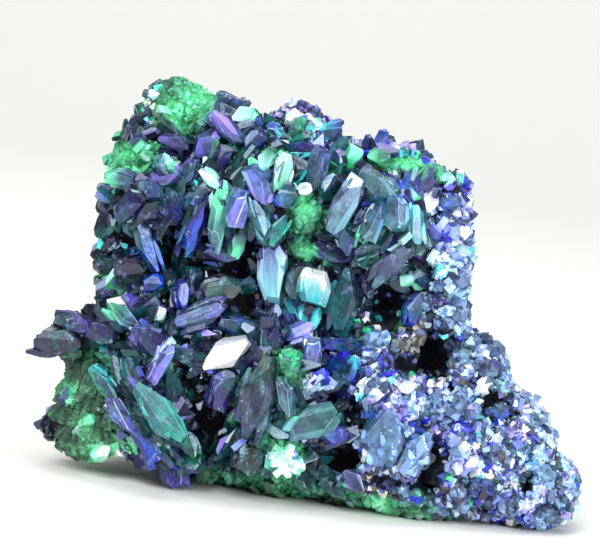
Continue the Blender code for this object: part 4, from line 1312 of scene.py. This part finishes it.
# ---------------------------------------------------------------- the rock
@dataclass
class Rock:
    """The bare rock: masses fused, less the hollows, and roughened.

    Attributes:
        voxel: grain of the first form.
        fine_voxel: grain of the finished skin.
        grain: size of the rock's bumps.
        relief: height of the rock's bumps.
        inset: how far the bare rock lies under the crystals' common skin, where they are large.
        deepest: how far it lies under that skin in the openings and crevices.
        tree: the skin before it is lowered, for the large crystals to stand on.
        middles: of the finished skin's triangles, in millimetres.
        normals: of those triangles.
        corners: of those triangles, in millimetres.
        areas: of those triangles.
    """

    voxel: float = 0.9
    fine_voxel: float = 0.5
    grain: float = 4.0
    relief: float = 0.7
    inset: float = 0.6
    deepest: float = 1.8
    tree: BVHTree = field(init=False)
    middles: np.ndarray = field(init=False)
    normals: np.ndarray = field(init=False)
    corners: np.ndarray = field(init=False)
    areas: np.ndarray = field(init=False)

    def _masses(self, name: str, lumps: Iterable[Lump]) -> bpy.types.Object:
        """A helper object of overlapping rounded masses."""
        bm = bmesh.new()
        for lump in lumps:
            size = Vector((lump.rx, lump.ry, lump.rz)) * MM
            middle = Vector((lump.x, lump.y, lump.z)) * MM
            place = Matrix.LocRotScale(middle, None, size)
            bmesh.ops.create_icosphere(bm, subdivisions=3, radius=1, matrix=place)
        return put(name, mesh_of(bm, name))

    def _remesh(self, helper: bpy.types.Object, voxel: float) -> None:
        """Fuses a helper's masses into one skin of even quads."""
        modifier = helper.modifiers.new("fuse", "REMESH")
        modifier.mode = "VOXEL"
        modifier.voxel_size = voxel * MM

    def _take(self, helper: bpy.types.Object) -> None:
        """Replaces a helper's mesh by what its modifiers make of it."""
        bpy.context.view_layer.update()
        graph = bpy.context.evaluated_depsgraph_get()
        mesh = bpy.data.meshes.new_from_object(helper.evaluated_get(graph))
        helper.modifiers.clear()
        helper.data = mesh

    def _push(self, mesh: bpy.types.Mesh, grain: float, relief: float) -> None:
        """Pushes a skin in and out by noise."""
        normals = [vertex.normal.copy() for vertex in mesh.vertices]
        for vertex, normal in zip(mesh.vertices, normals):
            point = vertex.co / (grain * MM)
            height = noise.noise(point) + 0.5 * noise.noise(point * 2.1)
            vertex.co += normal * height * relief * MM

    def form(self) -> bpy.types.Mesh:
        """Builds the rock's skin, and remembers it for the crystals to grow on.

        Returns:
            The mesh, cut flat at its base.
        """
        hollows = self._masses("hollows", HOLLOWS)
        self._remesh(hollows, self.voxel)
        self._take(hollows)
        rock = self._masses("rock", LUMPS)
        self._remesh(rock, self.voxel)
        cut = rock.modifiers.new("hollows", "BOOLEAN")
        cut.operation = "DIFFERENCE"
        cut.object = hollows
        self._remesh(rock, self.voxel)
        self._take(rock)
        self._push(rock.data, self.grain, self.relief)
        self._remesh(rock, self.fine_voxel)
        self._take(rock)
        mesh = rock.data
        points = [vertex.co[:] for vertex in mesh.vertices]
        self.tree = BVHTree.FromPolygons(points, [polygon.vertices[:] for polygon in mesh.polygons])
        self._sink(mesh)
        self._push(mesh, 1.1, 0.22)
        bpy.data.objects.remove(rock)
        bpy.data.objects.remove(hollows)
        self._cut_base(mesh)
        self._remember(mesh)
        return mesh

    def _sink(self, mesh: bpy.types.Mesh) -> None:
        """Lowers the rock's skin, and breaks it by crevices under the druse of the right side."""
        points = points_of(mesh)
        right = ramp(points[:, 0], 3.0, 8.0)
        gaps = np.maximum(right * crevice_at(points), vug_at(points))
        depth = self.inset * (1 - right) + self.deepest * gaps
        normals = [vertex.normal.copy() for vertex in mesh.vertices]
        for vertex, normal, sunk in zip(mesh.vertices, normals, (depth * MM).tolist()):
            vertex.co -= normal * sunk

    def _cut_base(self, mesh: bpy.types.Mesh) -> None:
        """Cuts the rock flat at its base and closes the cut."""
        bm = bmesh.new()
        bm.from_mesh(mesh)
        geometry = bm.verts[:] + bm.edges[:] + bm.faces[:]
        bmesh.ops.bisect_plane(
            bm, geom=geometry, plane_co=(0, 0, 0), plane_no=(0, 0, -1), clear_outer=True
        )
        rim = [edge for edge in bm.edges if edge.is_boundary]
        bmesh.ops.holes_fill(bm, edges=rim)
        bmesh.ops.triangulate(bm, faces=bm.faces[:])
        bm.to_mesh(mesh)
        bm.free()

    def _remember(self, mesh: bpy.types.Mesh) -> None:
        """Keeps the bare skin as arrays."""
        faces = np.array([polygon.vertices[:] for polygon in mesh.polygons])
        self.corners = points_of(mesh)[faces]
        self.middles = self.corners.mean(axis=1)
        first, second, third = self.corners.transpose(1, 0, 2)
        cross = np.cross(second - first, third - first)
        length = np.linalg.norm(cross, axis=1)
        self.areas = length / 2
        self.normals = cross / np.maximum(length, 1e-9)[:, None]

    def scatter(
        self, count: int, density: np.ndarray, rng: np.random.Generator
    ) -> tuple[np.ndarray, np.ndarray]:
        """Random places on the skin.

        Args:
            count: how many.
            density: of each of the skin's triangles.
            rng: the source of chance.

        Returns:
            The places, in millimetres, and the skin's directions there.
        """
        weights = self.areas * density
        chosen = rng.choice(len(weights), count, p=weights / weights.sum())
        shares = rng.dirichlet((1, 1, 1), count)
        return (self.corners[chosen] * shares[:, :, None]).sum(axis=1), self.normals[chosen]

    def seen_at(self, x: float, height: float) -> tuple[Vector, Vector]:
        """What shows at a place on the sheet.

        Args:
            x: the place across the sheet.
            height: the place's height.

        Returns:
            The point of the skin, in millimetres, and the direction that it is seen in.
        """
        start = SHEET.eye()
        spot = SHEET.point(x, height)
        ahead = (spot - start).normalized()
        hit = self.tree.ray_cast(start * MM, ahead)[0]
        if hit is None:
            hit = self.tree.find_nearest(spot * MM)[0]
        return hit / MM, ahead

    def front(self) -> np.ndarray:
        """How much each triangle belongs to the front, from 0 to 1."""
        facing = ramp(-self.normals[:, 1], -0.45, 0.05)
        return facing * ramp(-self.middles[:, 1], -9.0, -3.0)

    def dress(self, mesh: bpy.types.Mesh) -> None:
        """Gives the rock its finish, with painted shade that turns it near black in the hollows,
        openings and crevices and behind the crystals of the front, and puts it in the scene.
        """
        points = points_of(mesh)
        front = ramp(-points[:, 1], -6.0, -1.0)
        right = ramp(points[:, 0], 2.0, 7.0) * front
        # deep is painted shade: near black in the hollows and openings, in the crevices of the right
        # side and over the rest of the front, less where malachite covers the rock.
        deep = np.maximum(hollow_at(points), vug_at(points))
        deep = np.maximum(deep, np.maximum(1 - right, crevice_at(points)) * front)
        dust = malachite_at(points)
        deep *= 1 - 0.9 * dust
        store(mesh, dust=dust, pale=paleness_at(points), deep=deep, frost=right)
        finish_piece(mesh, "matrix_rock", MatrixFinish())


# ---------------------------------------------------------------- the large blades
@dataclass(frozen=True)
class Stand:
    """A blade with its place on the rock.

    Attributes:
        blade: what stands there.
        middle: its middle, in millimetres.
        axes: its long, broad and thin axes, as the columns of a matrix.
        size: its length, width and thickness.
    """

    blade: Blade
    middle: np.ndarray
    axes: np.ndarray
    size: np.ndarray


@dataclass
class LargeBlades:
    """The large blades of the front, each a bundle of parallel crystals.

    Attributes:
        rock: what they grow on.
        thickness: of half a blade, as a share of its width.
        thinnest: the least thickness of half a blade.
        bevel: of its edges.
        long: the length from which a blade counts as long.
        seed: of the chance in it.
        frames: the axes of each blade, once they are built.
    """

    rock: Rock
    thickness: float = 0.38
    thinnest: float = 0.7
    bevel: float = 0.06
    long: float = 5.0
    seed: int = 5
    frames: list[np.ndarray] = field(default_factory=list)

    def stand(self, blade: Blade) -> Stand:
        """Sets a blade on the rock's skin."""
        skin, ahead = self.rock.seen_at(blade.x, blade.height)
        middle = skin - ahead * blade.proud
        facing = Vector((1, 0, 0)).cross(ahead)
        axes = Matrix((Vector((1, 0, 0)), facing, -ahead)).transposed()
        for angle, axis in ((blade.lie, "Z"), (-blade.rake, "Y"), (blade.turn, "X")):
            axes = axes @ Matrix.Rotation(math.radians(angle), 3, axis)
        thick = max(blade.width * self.thickness, self.thinnest) * 2
        size = np.array((blade.length, blade.width, thick))
        return Stand(blade, np.array(middle), np.array(axes), size)

    def led(self, points: np.ndarray, spread: float, rng: np.random.Generator) -> np.ndarray:
        """Turns for small crystals that grow nearly the way the nearest blade does.

        Args:
            points: N places, in millimetres.
            spread: how much they stray from it.
            rng: the source of chance.

        Returns:
            N rotation matrices.
        """
        axes = np.array(self.frames)[nearest_spot(points, BLADES, 0.8, rng)]
        along = unit(axes[:, :, 0] + rng.normal(0, spread, (len(points), 3)))
        up = axes[:, :, 2] + rng.normal(0, spread, (len(points), 3))
        side = unit(np.cross(up, along))
        return np.stack((along, side, np.cross(along, side)), axis=2)

    def _tints(
        self, form: Form, length: float, blade: Blade, rng: np.random.Generator
    ) -> np.ndarray:
        """A tint for each corner of each face of a crystal, from its foot to its head.

        Args:
            form: the crystal's faces.
            length: of the crystal.
            blade: its tints.
            rng: makes the faces and the edges differ.

        Returns:
            1 by L by 3 colours.
        """
        faces = len(form.totals)
        shift = np.repeat(rng.normal(0.5, 0.16, faces), form.totals)
        along = np.clip(form.points[form.loops, 0] / length * 1.5 + shift, 0, 1)[:, None]
        # The bevels take some of the rim tint at random: mostly a painted highlight along the edges.
        painted_edge_share = np.where(form.rims, rng.uniform(0, 1, faces) ** 1.5 * 0.8, 0)
        painted_edge_share = np.repeat(painted_edge_share, form.totals)[:, None]
        return (blade.body(along) * (1 - painted_edge_share) + np.array(blade.rim.value) * painted_edge_share)[None]

    def build(self) -> None:
        """Builds the blades and puts them in the scene."""
        rng = np.random.default_rng(self.seed)
        batch, clumps = Batch(), Batch()
        grains = grains_of((STUBBY, CHISEL, POINTED), rng)
        for index, blade in enumerate(BLADES):
            stand = self.stand(blade)
            self.frames.append(stand.axes)
            habit = HABITS[index % len(HABITS)]
            crusted = blade.proud < 0.7 and malachite_at(stand.middle[None])[0] > 0.6
            if blade.painted_mirror() or not (crusted or blade.overgrown or blade in RIGHT_SIDE):
                self._bundle(batch, stand, habit, rng)
                continue
            self._clump(clumps, stand, grains, rng)
            if blade.length > self.long:
                self._bundle(clumps, stand, habit, rng)
        glassy = AzuriteFinish(0.17, striation=0.5, frost=0.8)
        frosted = AzuriteFinish(0.30, frost=1.0, depth=1.2)
        finish_piece(batch.mesh("azurite_blades"), "azurite_blades", glassy)
        finish_piece(clumps.mesh("azurite_clumps"), "azurite_clumps", frosted)

    def _chips(self, rng: np.random.Generator) -> list[Cut]:
        """Three small cuts that break the corners of one crystal."""
        ways = unit(rng.normal(0, 1, (3, 3)) * (1.3, 1.0, 0.6))
        return [(tuple(way), rng.uniform(0.9, 1.05)) for way in ways]

    def _clump(
        self, batch: Batch, stand: Stand, grains: list[Form], rng: np.random.Generator
    ) -> None:
        """Adds a blade as the knot of small crystals that has overgrown it."""
        blade = stand.blade
        each = int(blade.length * blade.width * 1.5)
        mixed = 0.08 if blade.length > self.long else 0.3
        for form in grains:
            ways = rng.normal(0, 1, (each, 3))
            ways[:, 2] = np.abs(ways[:, 2])
            ways = unit(ways)
            size = rng.uniform(0.35, 1.1, (each, 1)) * rng.uniform(0.6, 1.5, (each, 3))
            reach = rng.uniform(0.5, 1.05, (each, 1))
            places = stand.middle + (ways * (stand.size / 2 - 0.2) * reach) @ stand.axes.T
            size *= 1 - 0.95 * vug_at(places)[:, None]
            tints = blade.body(rng.random((each, 1)))
            wild = rng.random(each) < mixed
            normals = ways @ stand.axes.T
            tints[wild] = choose_tints(places, normals, rng)[wild]
            tints *= rng.uniform(0.7, 2.2, (each, 1))
            batch.add(form, spun(rng, normals, 0.5), places, size, tints, rng)

    def _bundle(
        self, batch: Batch, stand: Stand, habit: list[Cut], rng: np.random.Generator
    ) -> None:
        """Adds a blade and the smaller crystals that grew along it."""
        blade, size = stand.blade, stand.size
        members = 1 + sum(blade.length > least for least in (2.4, 3.4, 4.5))
        if blade.painted_mirror():
            members = 1
        for member in range(members):
            share = np.ones(3) if member == 0 else rng.uniform((0.45, 0.35, 0.4), (0.8, 0.6, 0.7))
            extent = size * share
            body = crystal(extent, habit + FACETS[: 2 + member % 2] + self._chips(rng))
            bevel_all(body, self.bevel)
            form = Form.of(body, rng, self.bevel * blade.length * 0.9)
            turn = np.array(Matrix.Rotation(rng.normal(0, 0.07), 3, "Z"))
            offset = np.zeros(3)
            if member == 0:
                turn = np.eye(3)
            else:
                offset[0] = rng.uniform(-0.3, 0.3) * size[0]
                offset[1] = rng.choice((-1, 1)) * rng.uniform(0.2, 0.45) * size[1]
                offset[2] = (size[2] - extent[2]) * 0.5 - rng.uniform(0.0, 0.45) * size[2]
            place = stand.middle + stand.axes @ offset
            tints = self._tints(form, extent[0], blade, rng)
            batch.add(form, (stand.axes @ turn)[None], place[None], np.ones((1, 3)), tints, rng)


# ---------------------------------------------------------------- the small crystals
@dataclass
class SmallCrystals:
    """A cover of small crystals of one kind, whose long axes lie along the rock's skin.

    Attributes:
        rock: what they grow on.
        name: the piece's name.
        count: how many.
        sizes: the range of their widths.
        stretch: the range of their lengths over their widths.
        tilt: how far they lean, in degrees.
        habits: the cuts that shape them.
        finish: their surface.
        seed: of the chance in them.
        thick: the range of their thickness over their width.
        proud: how far their middles stand out of the rock, over their thickness.
        shade: how light their tints are; below 1 it stands for painted shade between the large blades,
            above 1 it is partly a paler colour and partly painted light.
        painted_glints: the share of their faces that get painted glints.
        lead: the large blades whose growth they follow at the front.
        loose: how much they stray from that growth.
        painted_vug_shade: how much painted shade darkens them in the black openings.
        copies: how many shapes there are of each habit.
    """

    rock: Rock
    name: str
    count: int
    sizes: tuple[float, float]
    stretch: tuple[float, float]
    tilt: float
    habits: list[list[Cut]]
    finish: AzuriteFinish
    seed: int
    thick: tuple[float, float] = (0.5, 0.95)
    proud: float = 0.0
    shade: float = 1.0
    painted_glints: float = 0.08
    lead: Optional[LargeBlades] = None
    loose: float = 0.42
    painted_vug_shade: float = 0.88
    copies: int = 3

    def build(self, density: np.ndarray) -> None:
        """Grows the crystals and puts them in the scene.

        Args:
            density: where they grow, for each of the rock's triangles.
        """
        rng = np.random.default_rng(self.seed)
        points, normals = self.rock.scatter(self.count, density, rng)
        points, normals = self._inside(points, normals)
        tints = choose_tints(points, normals, rng) * self.shade
        tints *= np.exp(rng.normal(-0.2, 0.5, (len(points), 1)))
        # Painted shade: crystals in the black openings are darkened.
        tints *= 1 - self.painted_vug_shade * vug_at(points)[:, None]
        turns = spun(rng, normals, math.radians(self.tilt))
        if self.lead:
            front = normals[:, 1] < -0.1
            turns[front] = self.lead.led(points[front], self.loose, rng)
        widths = rng.uniform(*self.sizes, len(points)) * np.exp(rng.normal(0, 0.15, len(points)))
        lengths = widths * rng.uniform(*self.stretch, len(points))
        thick = widths * rng.uniform(*self.thick, len(points))
        sizes = np.column_stack((lengths, widths, thick))
        middles = points + normals * (self.proud * thick)[:, None]
        batch = Batch()
        forms = grains_of([habit for habit in self.habits for copy in range(self.copies)], rng)
        kinds = rng.integers(0, len(forms), len(points))
        for kind, form in enumerate(forms):
            here = kinds == kind
            faces = len(form.totals)
            glints = self._glints(tints[here], faces, rng)
            batch.add(form, turns[here], middles[here], sizes[here], glints, rng)
        finish_piece(batch.mesh(self.name), self.name, self.finish)

    def _inside(self, points: np.ndarray, normals: np.ndarray) -> tuple[np.ndarray, np.ndarray]:
        """Leaves out what would stand outside the solid's own box or under its base."""
        low, high = (np.array(corner) / MM for corner in CAD_BOX)
        reach = self.sizes[1] * 0.5
        inside = np.all((points > low + reach - 0.4) & (points < high - reach + 0.4), axis=1)
        inside &= (points[:, 2] > reach + 0.1) & (normals[:, 2] > -0.93)
        return points[inside], normals[inside]

    def _glints(self, tints: np.ndarray, faces: int, rng: np.random.Generator) -> np.ndarray:
        """Tints for every face: a few faces get pale or bright tints, painted glints that stand in for
        single facets catching the light.
        """
        every = np.repeat(tints[:, None], faces, axis=1)
        pale = np.array((Hue.LILAC.value, Hue.PERIWINKLE.value, Hue.ICE.value, Hue.CYAN.value))
        painted_glints = rng.random((len(tints), faces)) < self.painted_glints
        every[painted_glints] = pale[rng.choice(4, int(painted_glints.sum()), p=(0.4, 0.3, 0.18, 0.12))]
        return every


# ---------------------------------------------------------------- malachite
@dataclass(frozen=True)
class Fan:
    """A spray of malachite threads that lies on the rock.

    Attributes:
        x: where it starts, across the sheet.
        height: where it starts.
        lie: the way that it spreads, from the sheet's X, in degrees.
        spread: how wide it opens, in degrees.
        reach: how long its threads are.
    """

    x: float
    height: float
    lie: float
    spread: float
    reach: float


FANS = [
    Fan(-23.2, 12.6, -118, 80, 4.2), Fan(-21.9, 11.0, -100, 70, 4.0),
    Fan(-24.8, 11.6, -105, 50, 4.4), Fan(-23.6, 9.4, -105, 60, 4.2), Fan(-22.2, 8.0, -95, 60, 4.0),
    Fan(-25.2, 8.6, -105, 55, 3.2), Fan(-24.0, 6.4, -105, 60, 3.2), Fan(-22.6, 5.8, -90, 60, 3.2),
    Fan(-21.0, 5.6, -75, 60, 3.0), Fan(-24.6, 4.8, -100, 60, 2.4), Fan(-23.4, 3.6, -100, 90, 2.2),
    Fan(-21.6, 3.4, -80, 90, 2.4), Fan(-20.2, 3.6, -60, 80, 2.2), Fan(-20.6, 8.4, -80, 60, 3.0),
    Fan(-24.6, 13.2, -150, 60, 2.4), Fan(-8.0, 2.0, -95, 100, 2.0), Fan(-5.4, 1.8, -85, 100, 2.2),
    Fan(-3.0, 1.8, -80, 100, 2.0), Fan(3.6, 1.6, -90, 100, 1.8), Fan(9.4, 2.0, -90, 100, 1.8),
    Fan(12.0, 1.8, -85, 100, 1.6),
]


@dataclass
class MalachiteSprays:
    """Fans of silky threads over the lobe at the left and along the foot.

    Attributes:
        rock: what they grow on.
        threads: in each fan.
        folds: how closely a fan is pleated, in folds over 2 pi radians.
        grey: what dulls the threads' green.
        seed: of the chance in them.
    """

    rock: Rock
    threads: int = 190
    folds: float = 17.0
    grey: Colour = (0.050, 0.028, 0.036)
    seed: int = 21

    def build(self) -> None:
        """Builds the fans and puts them in the scene."""
        rng = np.random.default_rng(self.seed)
        batch = Batch()
        thread = Form.of(crystal((1, 1, 1), [((0.9, 0.3, 0.3), 0.95), ((0.9, -0.3, 0.3), 0.95)]), rng)
        for fan in FANS:
            self._fan(batch, thread, fan, rng)
        mesh = batch.mesh("malachite_sprays")
        finish_piece(mesh, "malachite_sprays", MalachiteFinish(0.34, 0.12), "malachite_silk")

    def _fan(self, batch: Batch, thread: Form, fan: Fan, rng: np.random.Generator) -> None:
        """Adds one fan, each thread laid on the rock from the fan's root to its own tip."""
        root = self.rock.seen_at(fan.x, fan.height)[0]
        phase = rng.uniform(0, 2 * math.pi)
        turns, middles, sizes, tints = [], [], [], []
        for count in range(self.threads):
            angle = math.radians(fan.lie + rng.uniform(-0.5, 0.5) * fan.spread)
            start, end = sorted(rng.uniform((0.0, 0.55), (0.45, 1.0)) * fan.reach)
            way = Vector((math.cos(angle), math.sin(angle)))
            tail, tip = (
                self.rock.seen_at(fan.x + way.x * reach, fan.height + way.y * reach)[0]
                for reach in (start, end)
            )
            if (tip - tail).length > fan.reach * 1.5 or (tip - root).length > fan.reach * 2:
                continue
            fold = 0.5 + 0.5 * math.sin(angle * self.folds + phase)
            lift = Vector((0, -1, 0.1)) * (0.1 + 0.4 * end / fan.reach + 0.5 * fold)
            along = tip + lift - tail
            axis = along.normalized()
            side = axis.cross(Vector((0, -1, 0))).normalized()
            turns.append(np.array(Matrix((axis, side, axis.cross(side))).transposed()))
            middles.append(np.array(tail + along / 2))
            sizes.append((along.length, rng.uniform(0.2, 0.55), rng.uniform(0.15, 0.35)))
            # Painted shade: each thread is darker in the creases between the folds and towards the fan's
            # root, and lighter on the folds and towards its tip.
            light = (0.10 + 0.40 * end / fan.reach) * (0.10 + 1.2 * fold)
            tints.append(light * math.exp(rng.normal(0, 0.18)))
        if turns:
            places = np.array(middles)
            # Pale malachite keeps its own lightness over that painted shade.
            lights = np.maximum(np.array(tints), paleness_at(places))
            shades = (malachite_tints(places, rng) + self.grey) * lights[:, None]
            batch.add(thread, np.array(turns), places, np.array(sizes), shades, rng)


@dataclass
class MalachiteCrust:
    """A velvety crust of small rounded malachite grains.

    Attributes:
        rock: what it grows on.
        count: of the grains.
        sizes: the range of the grains' widths.
        knob: the height from which its pale grains are fewer.
        seed: of the chance in it.
    """

    rock: Rock
    count: int = 4200
    sizes: tuple[float, float] = (0.25, 1.15)
    knob: float = 36.0
    seed: int = 31

    def build(self) -> None:
        """Grows the crust and puts it in the scene."""
        rng = np.random.default_rng(self.seed)
        middles = self.rock.middles
        lobe = LOBE.reach(middles) < 1.1
        density = malachite_at(middles) * np.where(lobe, 0.12, 1.0) * (middles[:, 2] > 0.6)
        density *= 1 - 0.75 * paleness_at(middles) * (middles[:, 2] > self.knob)
        points, normals = self.rock.scatter(self.count, density + 1e-9, rng)
        turns = spun(rng, normals, 0.3)
        least, most = self.sizes
        most = most - 0.4 * (most - least) * paleness_at(points)
        width = rng.uniform(0, 1, len(points)) ** 2 * (most - least) + least
        sizes = np.column_stack((width, width * rng.uniform(0.7, 1, len(points)), width * 0.8))
        tints = malachite_tints(points, rng)
        batch = Batch()
        forms = [self._grain(rng) for copy in range(2)]
        forms += grains_of((STUBBY, CHISEL, POINTED), rng)
        kinds = rng.integers(0, len(forms), len(points))
        for kind, form in enumerate(forms):
            here = kinds == kind
            places = points[here] + normals[here] * sizes[here, 2:] * 0.2
            batch.add(form, turns[here], places, sizes[here], tints[here], rng)
        mesh = batch.mesh("malachite_crust")
        finish_piece(mesh, "malachite_crust", MalachiteFinish(0.55, 0.40), "malachite_velvet")

    def _grain(self, rng: np.random.Generator) -> Form:
        """One knobbly grain."""
        bm = bmesh.new()
        bmesh.ops.create_uvsphere(bm, u_segments=6, v_segments=5, radius=0.5)
        shift = Vector(rng.uniform(0, 50, 3))
        for vertex in bm.verts:
            vertex.co *= 1 + 0.45 * noise.noise(vertex.co * 3.2 + shift)
        # The sphere's faces come in an order that isn't the same each run.
        bm.faces.sort(key=lambda face: face.calc_center_median().dot(Vector((1, 7, 53))))
        return Form.of(bm, rng)


# ---------------------------------------------------------------- the studio
@dataclass(frozen=True)
class Lamp:
    """A square soft light.

    Attributes:
        name: the lamp's name.
        place: where it hangs, in metres.
        side: its width and height, in metres.
        power: in watts.
        colour: of its light.
        aim: the point that it faces, in metres.
    """

    name: str
    place: Place
    side: float
    power: float
    colour: Colour = (1.0, 1.0, 1.0)
    aim: Place = (0.0, 0.0, 0.02)

    def hang(self) -> None:
        """Puts the light into the scene."""
        data = bpy.data.lights.new(self.name, "AREA")
        data.size = self.side
        data.energy = self.power
        data.color = self.colour
        lamp = put(self.name, data)
        lamp.location = self.place
        way = Vector(self.aim) - Vector(self.place)
        lamp.rotation_euler = way.to_track_quat("-Z", "Y").to_euler()


LAMPS = [
    Lamp("key", (-0.35, -0.55, 0.55), 0.50, 5.0, (1.0, 0.99, 0.97)),
    Lamp("window", (0.45, -0.50, 0.22), 0.30, 3.0, (0.92, 0.97, 1.0)),
    Lamp("sky", (0.0, 0.05, 0.75), 0.50, 2.9),
    Lamp("sparkle", (-0.10, -0.80, 0.40), 0.12, 0.40),
    Lamp("wash", (0.0, 0.30, 0.60), 0.6, 0.3, aim=(0.0, 0.75, 0.25)),
]


@dataclass
class Studio:
    """A pale floor that curves up behind the specimen, soft lights and the camera.

    Attributes:
        width: of the floor.
        front: how far the floor runs towards the camera.
        back: how far behind the specimen the floor curves up.
        height: of the backdrop.
        bend: radius of the curve between them.
        steps: flat strips in that curve.
        room: colour of the room's even light.
        glow: strength of that light.
        sensor: width of the camera's sensor, in millimetres.
    """

    width: float = 3.0
    front: float = 1.2
    back: float = 0.45
    height: float = 1.2
    bend: float = 0.35
    steps: int = 12
    room: Colour = (0.93, 0.96, 1.0)
    glow: float = 0.32
    sensor: float = 36.0

    def floor(self) -> None:
        """Builds the floor and the backdrop as one curved sheet."""
        bm = bmesh.new()
        profile = [(-self.front, 0.0), (self.back, 0.0)]
        for step in range(1, self.steps + 1):
            angle = math.radians(90 * step / self.steps)
            rise = self.bend * (1 - math.cos(angle))
            profile.append((self.back + self.bend * math.sin(angle), rise))
        profile.append((self.back + self.bend, self.height))
        row = [bm.verts.new((-self.width / 2, y, z)) for y, z in profile]
        edges = [bm.edges.new(pair) for pair in zip(row, row[1:])]
        swept = bmesh.ops.extrude_edge_only(bm, edges=edges)["geom"]
        moved = [item for item in swept if isinstance(item, bmesh.types.BMVert)]
        bmesh.ops.translate(bm, verts=moved, vec=(self.width, 0, 0))
        bmesh.ops.recalc_face_normals(bm, faces=bm.faces[:])
        if bm.faces[0].normal.z < 0:
            bmesh.ops.reverse_faces(bm, faces=bm.faces[:])
        mesh = mesh_of(bm, "backdrop")
        mesh.shade_smooth()
        mesh.materials.append(PaperFinish().material("pale_paper"))
        sheet = put("backdrop", mesh)

    def lights(self) -> None:
        """Hangs the lights and sets the even light of the room."""
        world = bpy.data.worlds.new("room")
        world.use_nodes = True
        background = world.node_tree.nodes["Background"]
        background.inputs["Color"].default_value = (*self.room, 1.0)
        background.inputs["Strength"].default_value = self.glow
        bpy.context.scene.world = world
        for lamp in LAMPS:
            lamp.hang()

    def camera(self) -> None:
        """Places the camera at the viewing point of the front's layout."""
        data = bpy.data.cameras.new("camera")
        data.sensor_width = self.sensor
        data.lens = self.sensor * SHEET.distance / SHEET.width
        data.clip_start = 0.01
        camera = put("camera", data)
        camera.location = SHEET.eye() * MM
        level = SHEET.ahead().to_track_quat("-Z", "Y")
        roll = Quaternion((0, 0, 1), math.radians(SHEET.roll))
        camera.rotation_euler = (level @ roll).to_euler()
        bpy.context.scene.camera = camera

    def build(self) -> None:
        """Builds the whole studio."""
        self.floor()
        self.lights()
        self.camera()
        bpy.context.scene.view_settings.view_transform = "Standard"


# ---------------------------------------------------------------- the whole specimen
def grow(rock: Rock, blades: LargeBlades) -> None:
    """Grows the small crystals on the rock.

    Args:
        rock: the bare rock.
        blades: the large blades, already built.
    """
    middles = rock.middles
    across, deep, height = middles.T
    bare = 1 - 0.6 * malachite_at(middles)
    dry = 1 - 0.97 * hollow_at(middles)
    vug = vug_at(middles)
    front = rock.front()
    # The druse covers the right side, the crown of the middle and the top of the knob.
    low = height < 24
    right = np.where(low, ramp(across, 2.5, 6.5), ramp(across, 9.0, 11.0))
    crown = ramp(height, 36.0, 39.0) * ramp(across, -8.0, -5.0)
    knob = ramp(height, 36.5, 38.0) * ramp(-across, 15.0, 17.0)
    right = np.maximum(right, np.maximum(crown, knob))
    # The bladelets keep off the left edge and the round lump.
    inner = ramp(across, -25.5, -23.5)
    facing = ramp(-rock.normals[:, 1], 0.10, 0.45)
    clear = ROUND_LUMP.reach(middles) > 1.35
    # The rear's crystals grow in loose patches, and keep off the crest that shows from the front.
    away = np.maximum(ramp(rock.normals[:, 1], 0.1, 0.4), ramp(deep, 3.0, 7.0))
    patches = ramp(noise_at(middles, 5.5, 3.0), -0.05, 0.25)
    glassy = AzuriteFinish(0.10)
    sparkling = AzuriteFinish(0.26, frost=1.0, depth=1.15)
    grainy = [STUBBY, CHISEL]
    # The bladelets and the points take darker tints as painted shade, for crystals that sit between the
    # large blades; the druse takes lighter ones, partly its paler colour and partly painted light of the
    # brightly lit right side.
    bladelets = SmallCrystals(
        rock, "azurite_bladelets", 1350, (0.8, 1.7), (1.5, 2.8), 50, HABITS, glassy, 41,
        thick=(0.3, 0.55), proud=0.2, shade=0.5, lead=blades,
    )
    points = SmallCrystals(
        rock, "azurite_points", 2600, (0.3, 0.7), (1.4, 2.6), 45, HABITS, glassy, 42,
        proud=-0.1, shade=0.3,
    )
    druse = SmallCrystals(
        rock, "azurite_druse", 8400, (0.30, 0.85), (0.9, 1.7), 40, grainy, sparkling, 43,
        proud=0.3, shade=1.95, painted_glints=0.07,
    )
    rear = SmallCrystals(
        rock, "azurite_rear", 5200, (0.35, 1.1), (0.9, 2.2), 40, grainy, sparkling, 44
    )
    bladelets.build(front * facing * (1 - right) * bare**3 * dry * (1 - 0.8 * vug) * clear * inner)
    points.build(front * (1 - 0.8 * right) * bare * dry * (1 - 0.6 * vug))
    druse.build(front * right * bare * dry * (1 - vug) * (1 - 0.9 * crevice_at(middles)))
    rear.build(((1 - front) * patches * bare + 0.02 * (1 - front)) * away)


def main() -> None:
    """Builds the specimen and its studio."""
    logging.basicConfig(level=logging.INFO, format="%(name)s: %(message)s")
    rock = Rock()
    mesh = rock.form()
    rock.dress(mesh)
    blades = LargeBlades(rock)
    blades.build()
    grow(rock, blades)
    MalachiteSprays(rock).build()
    MalachiteCrust(rock).build()
    Studio().build()


if __name__ == "__main__":
    main()
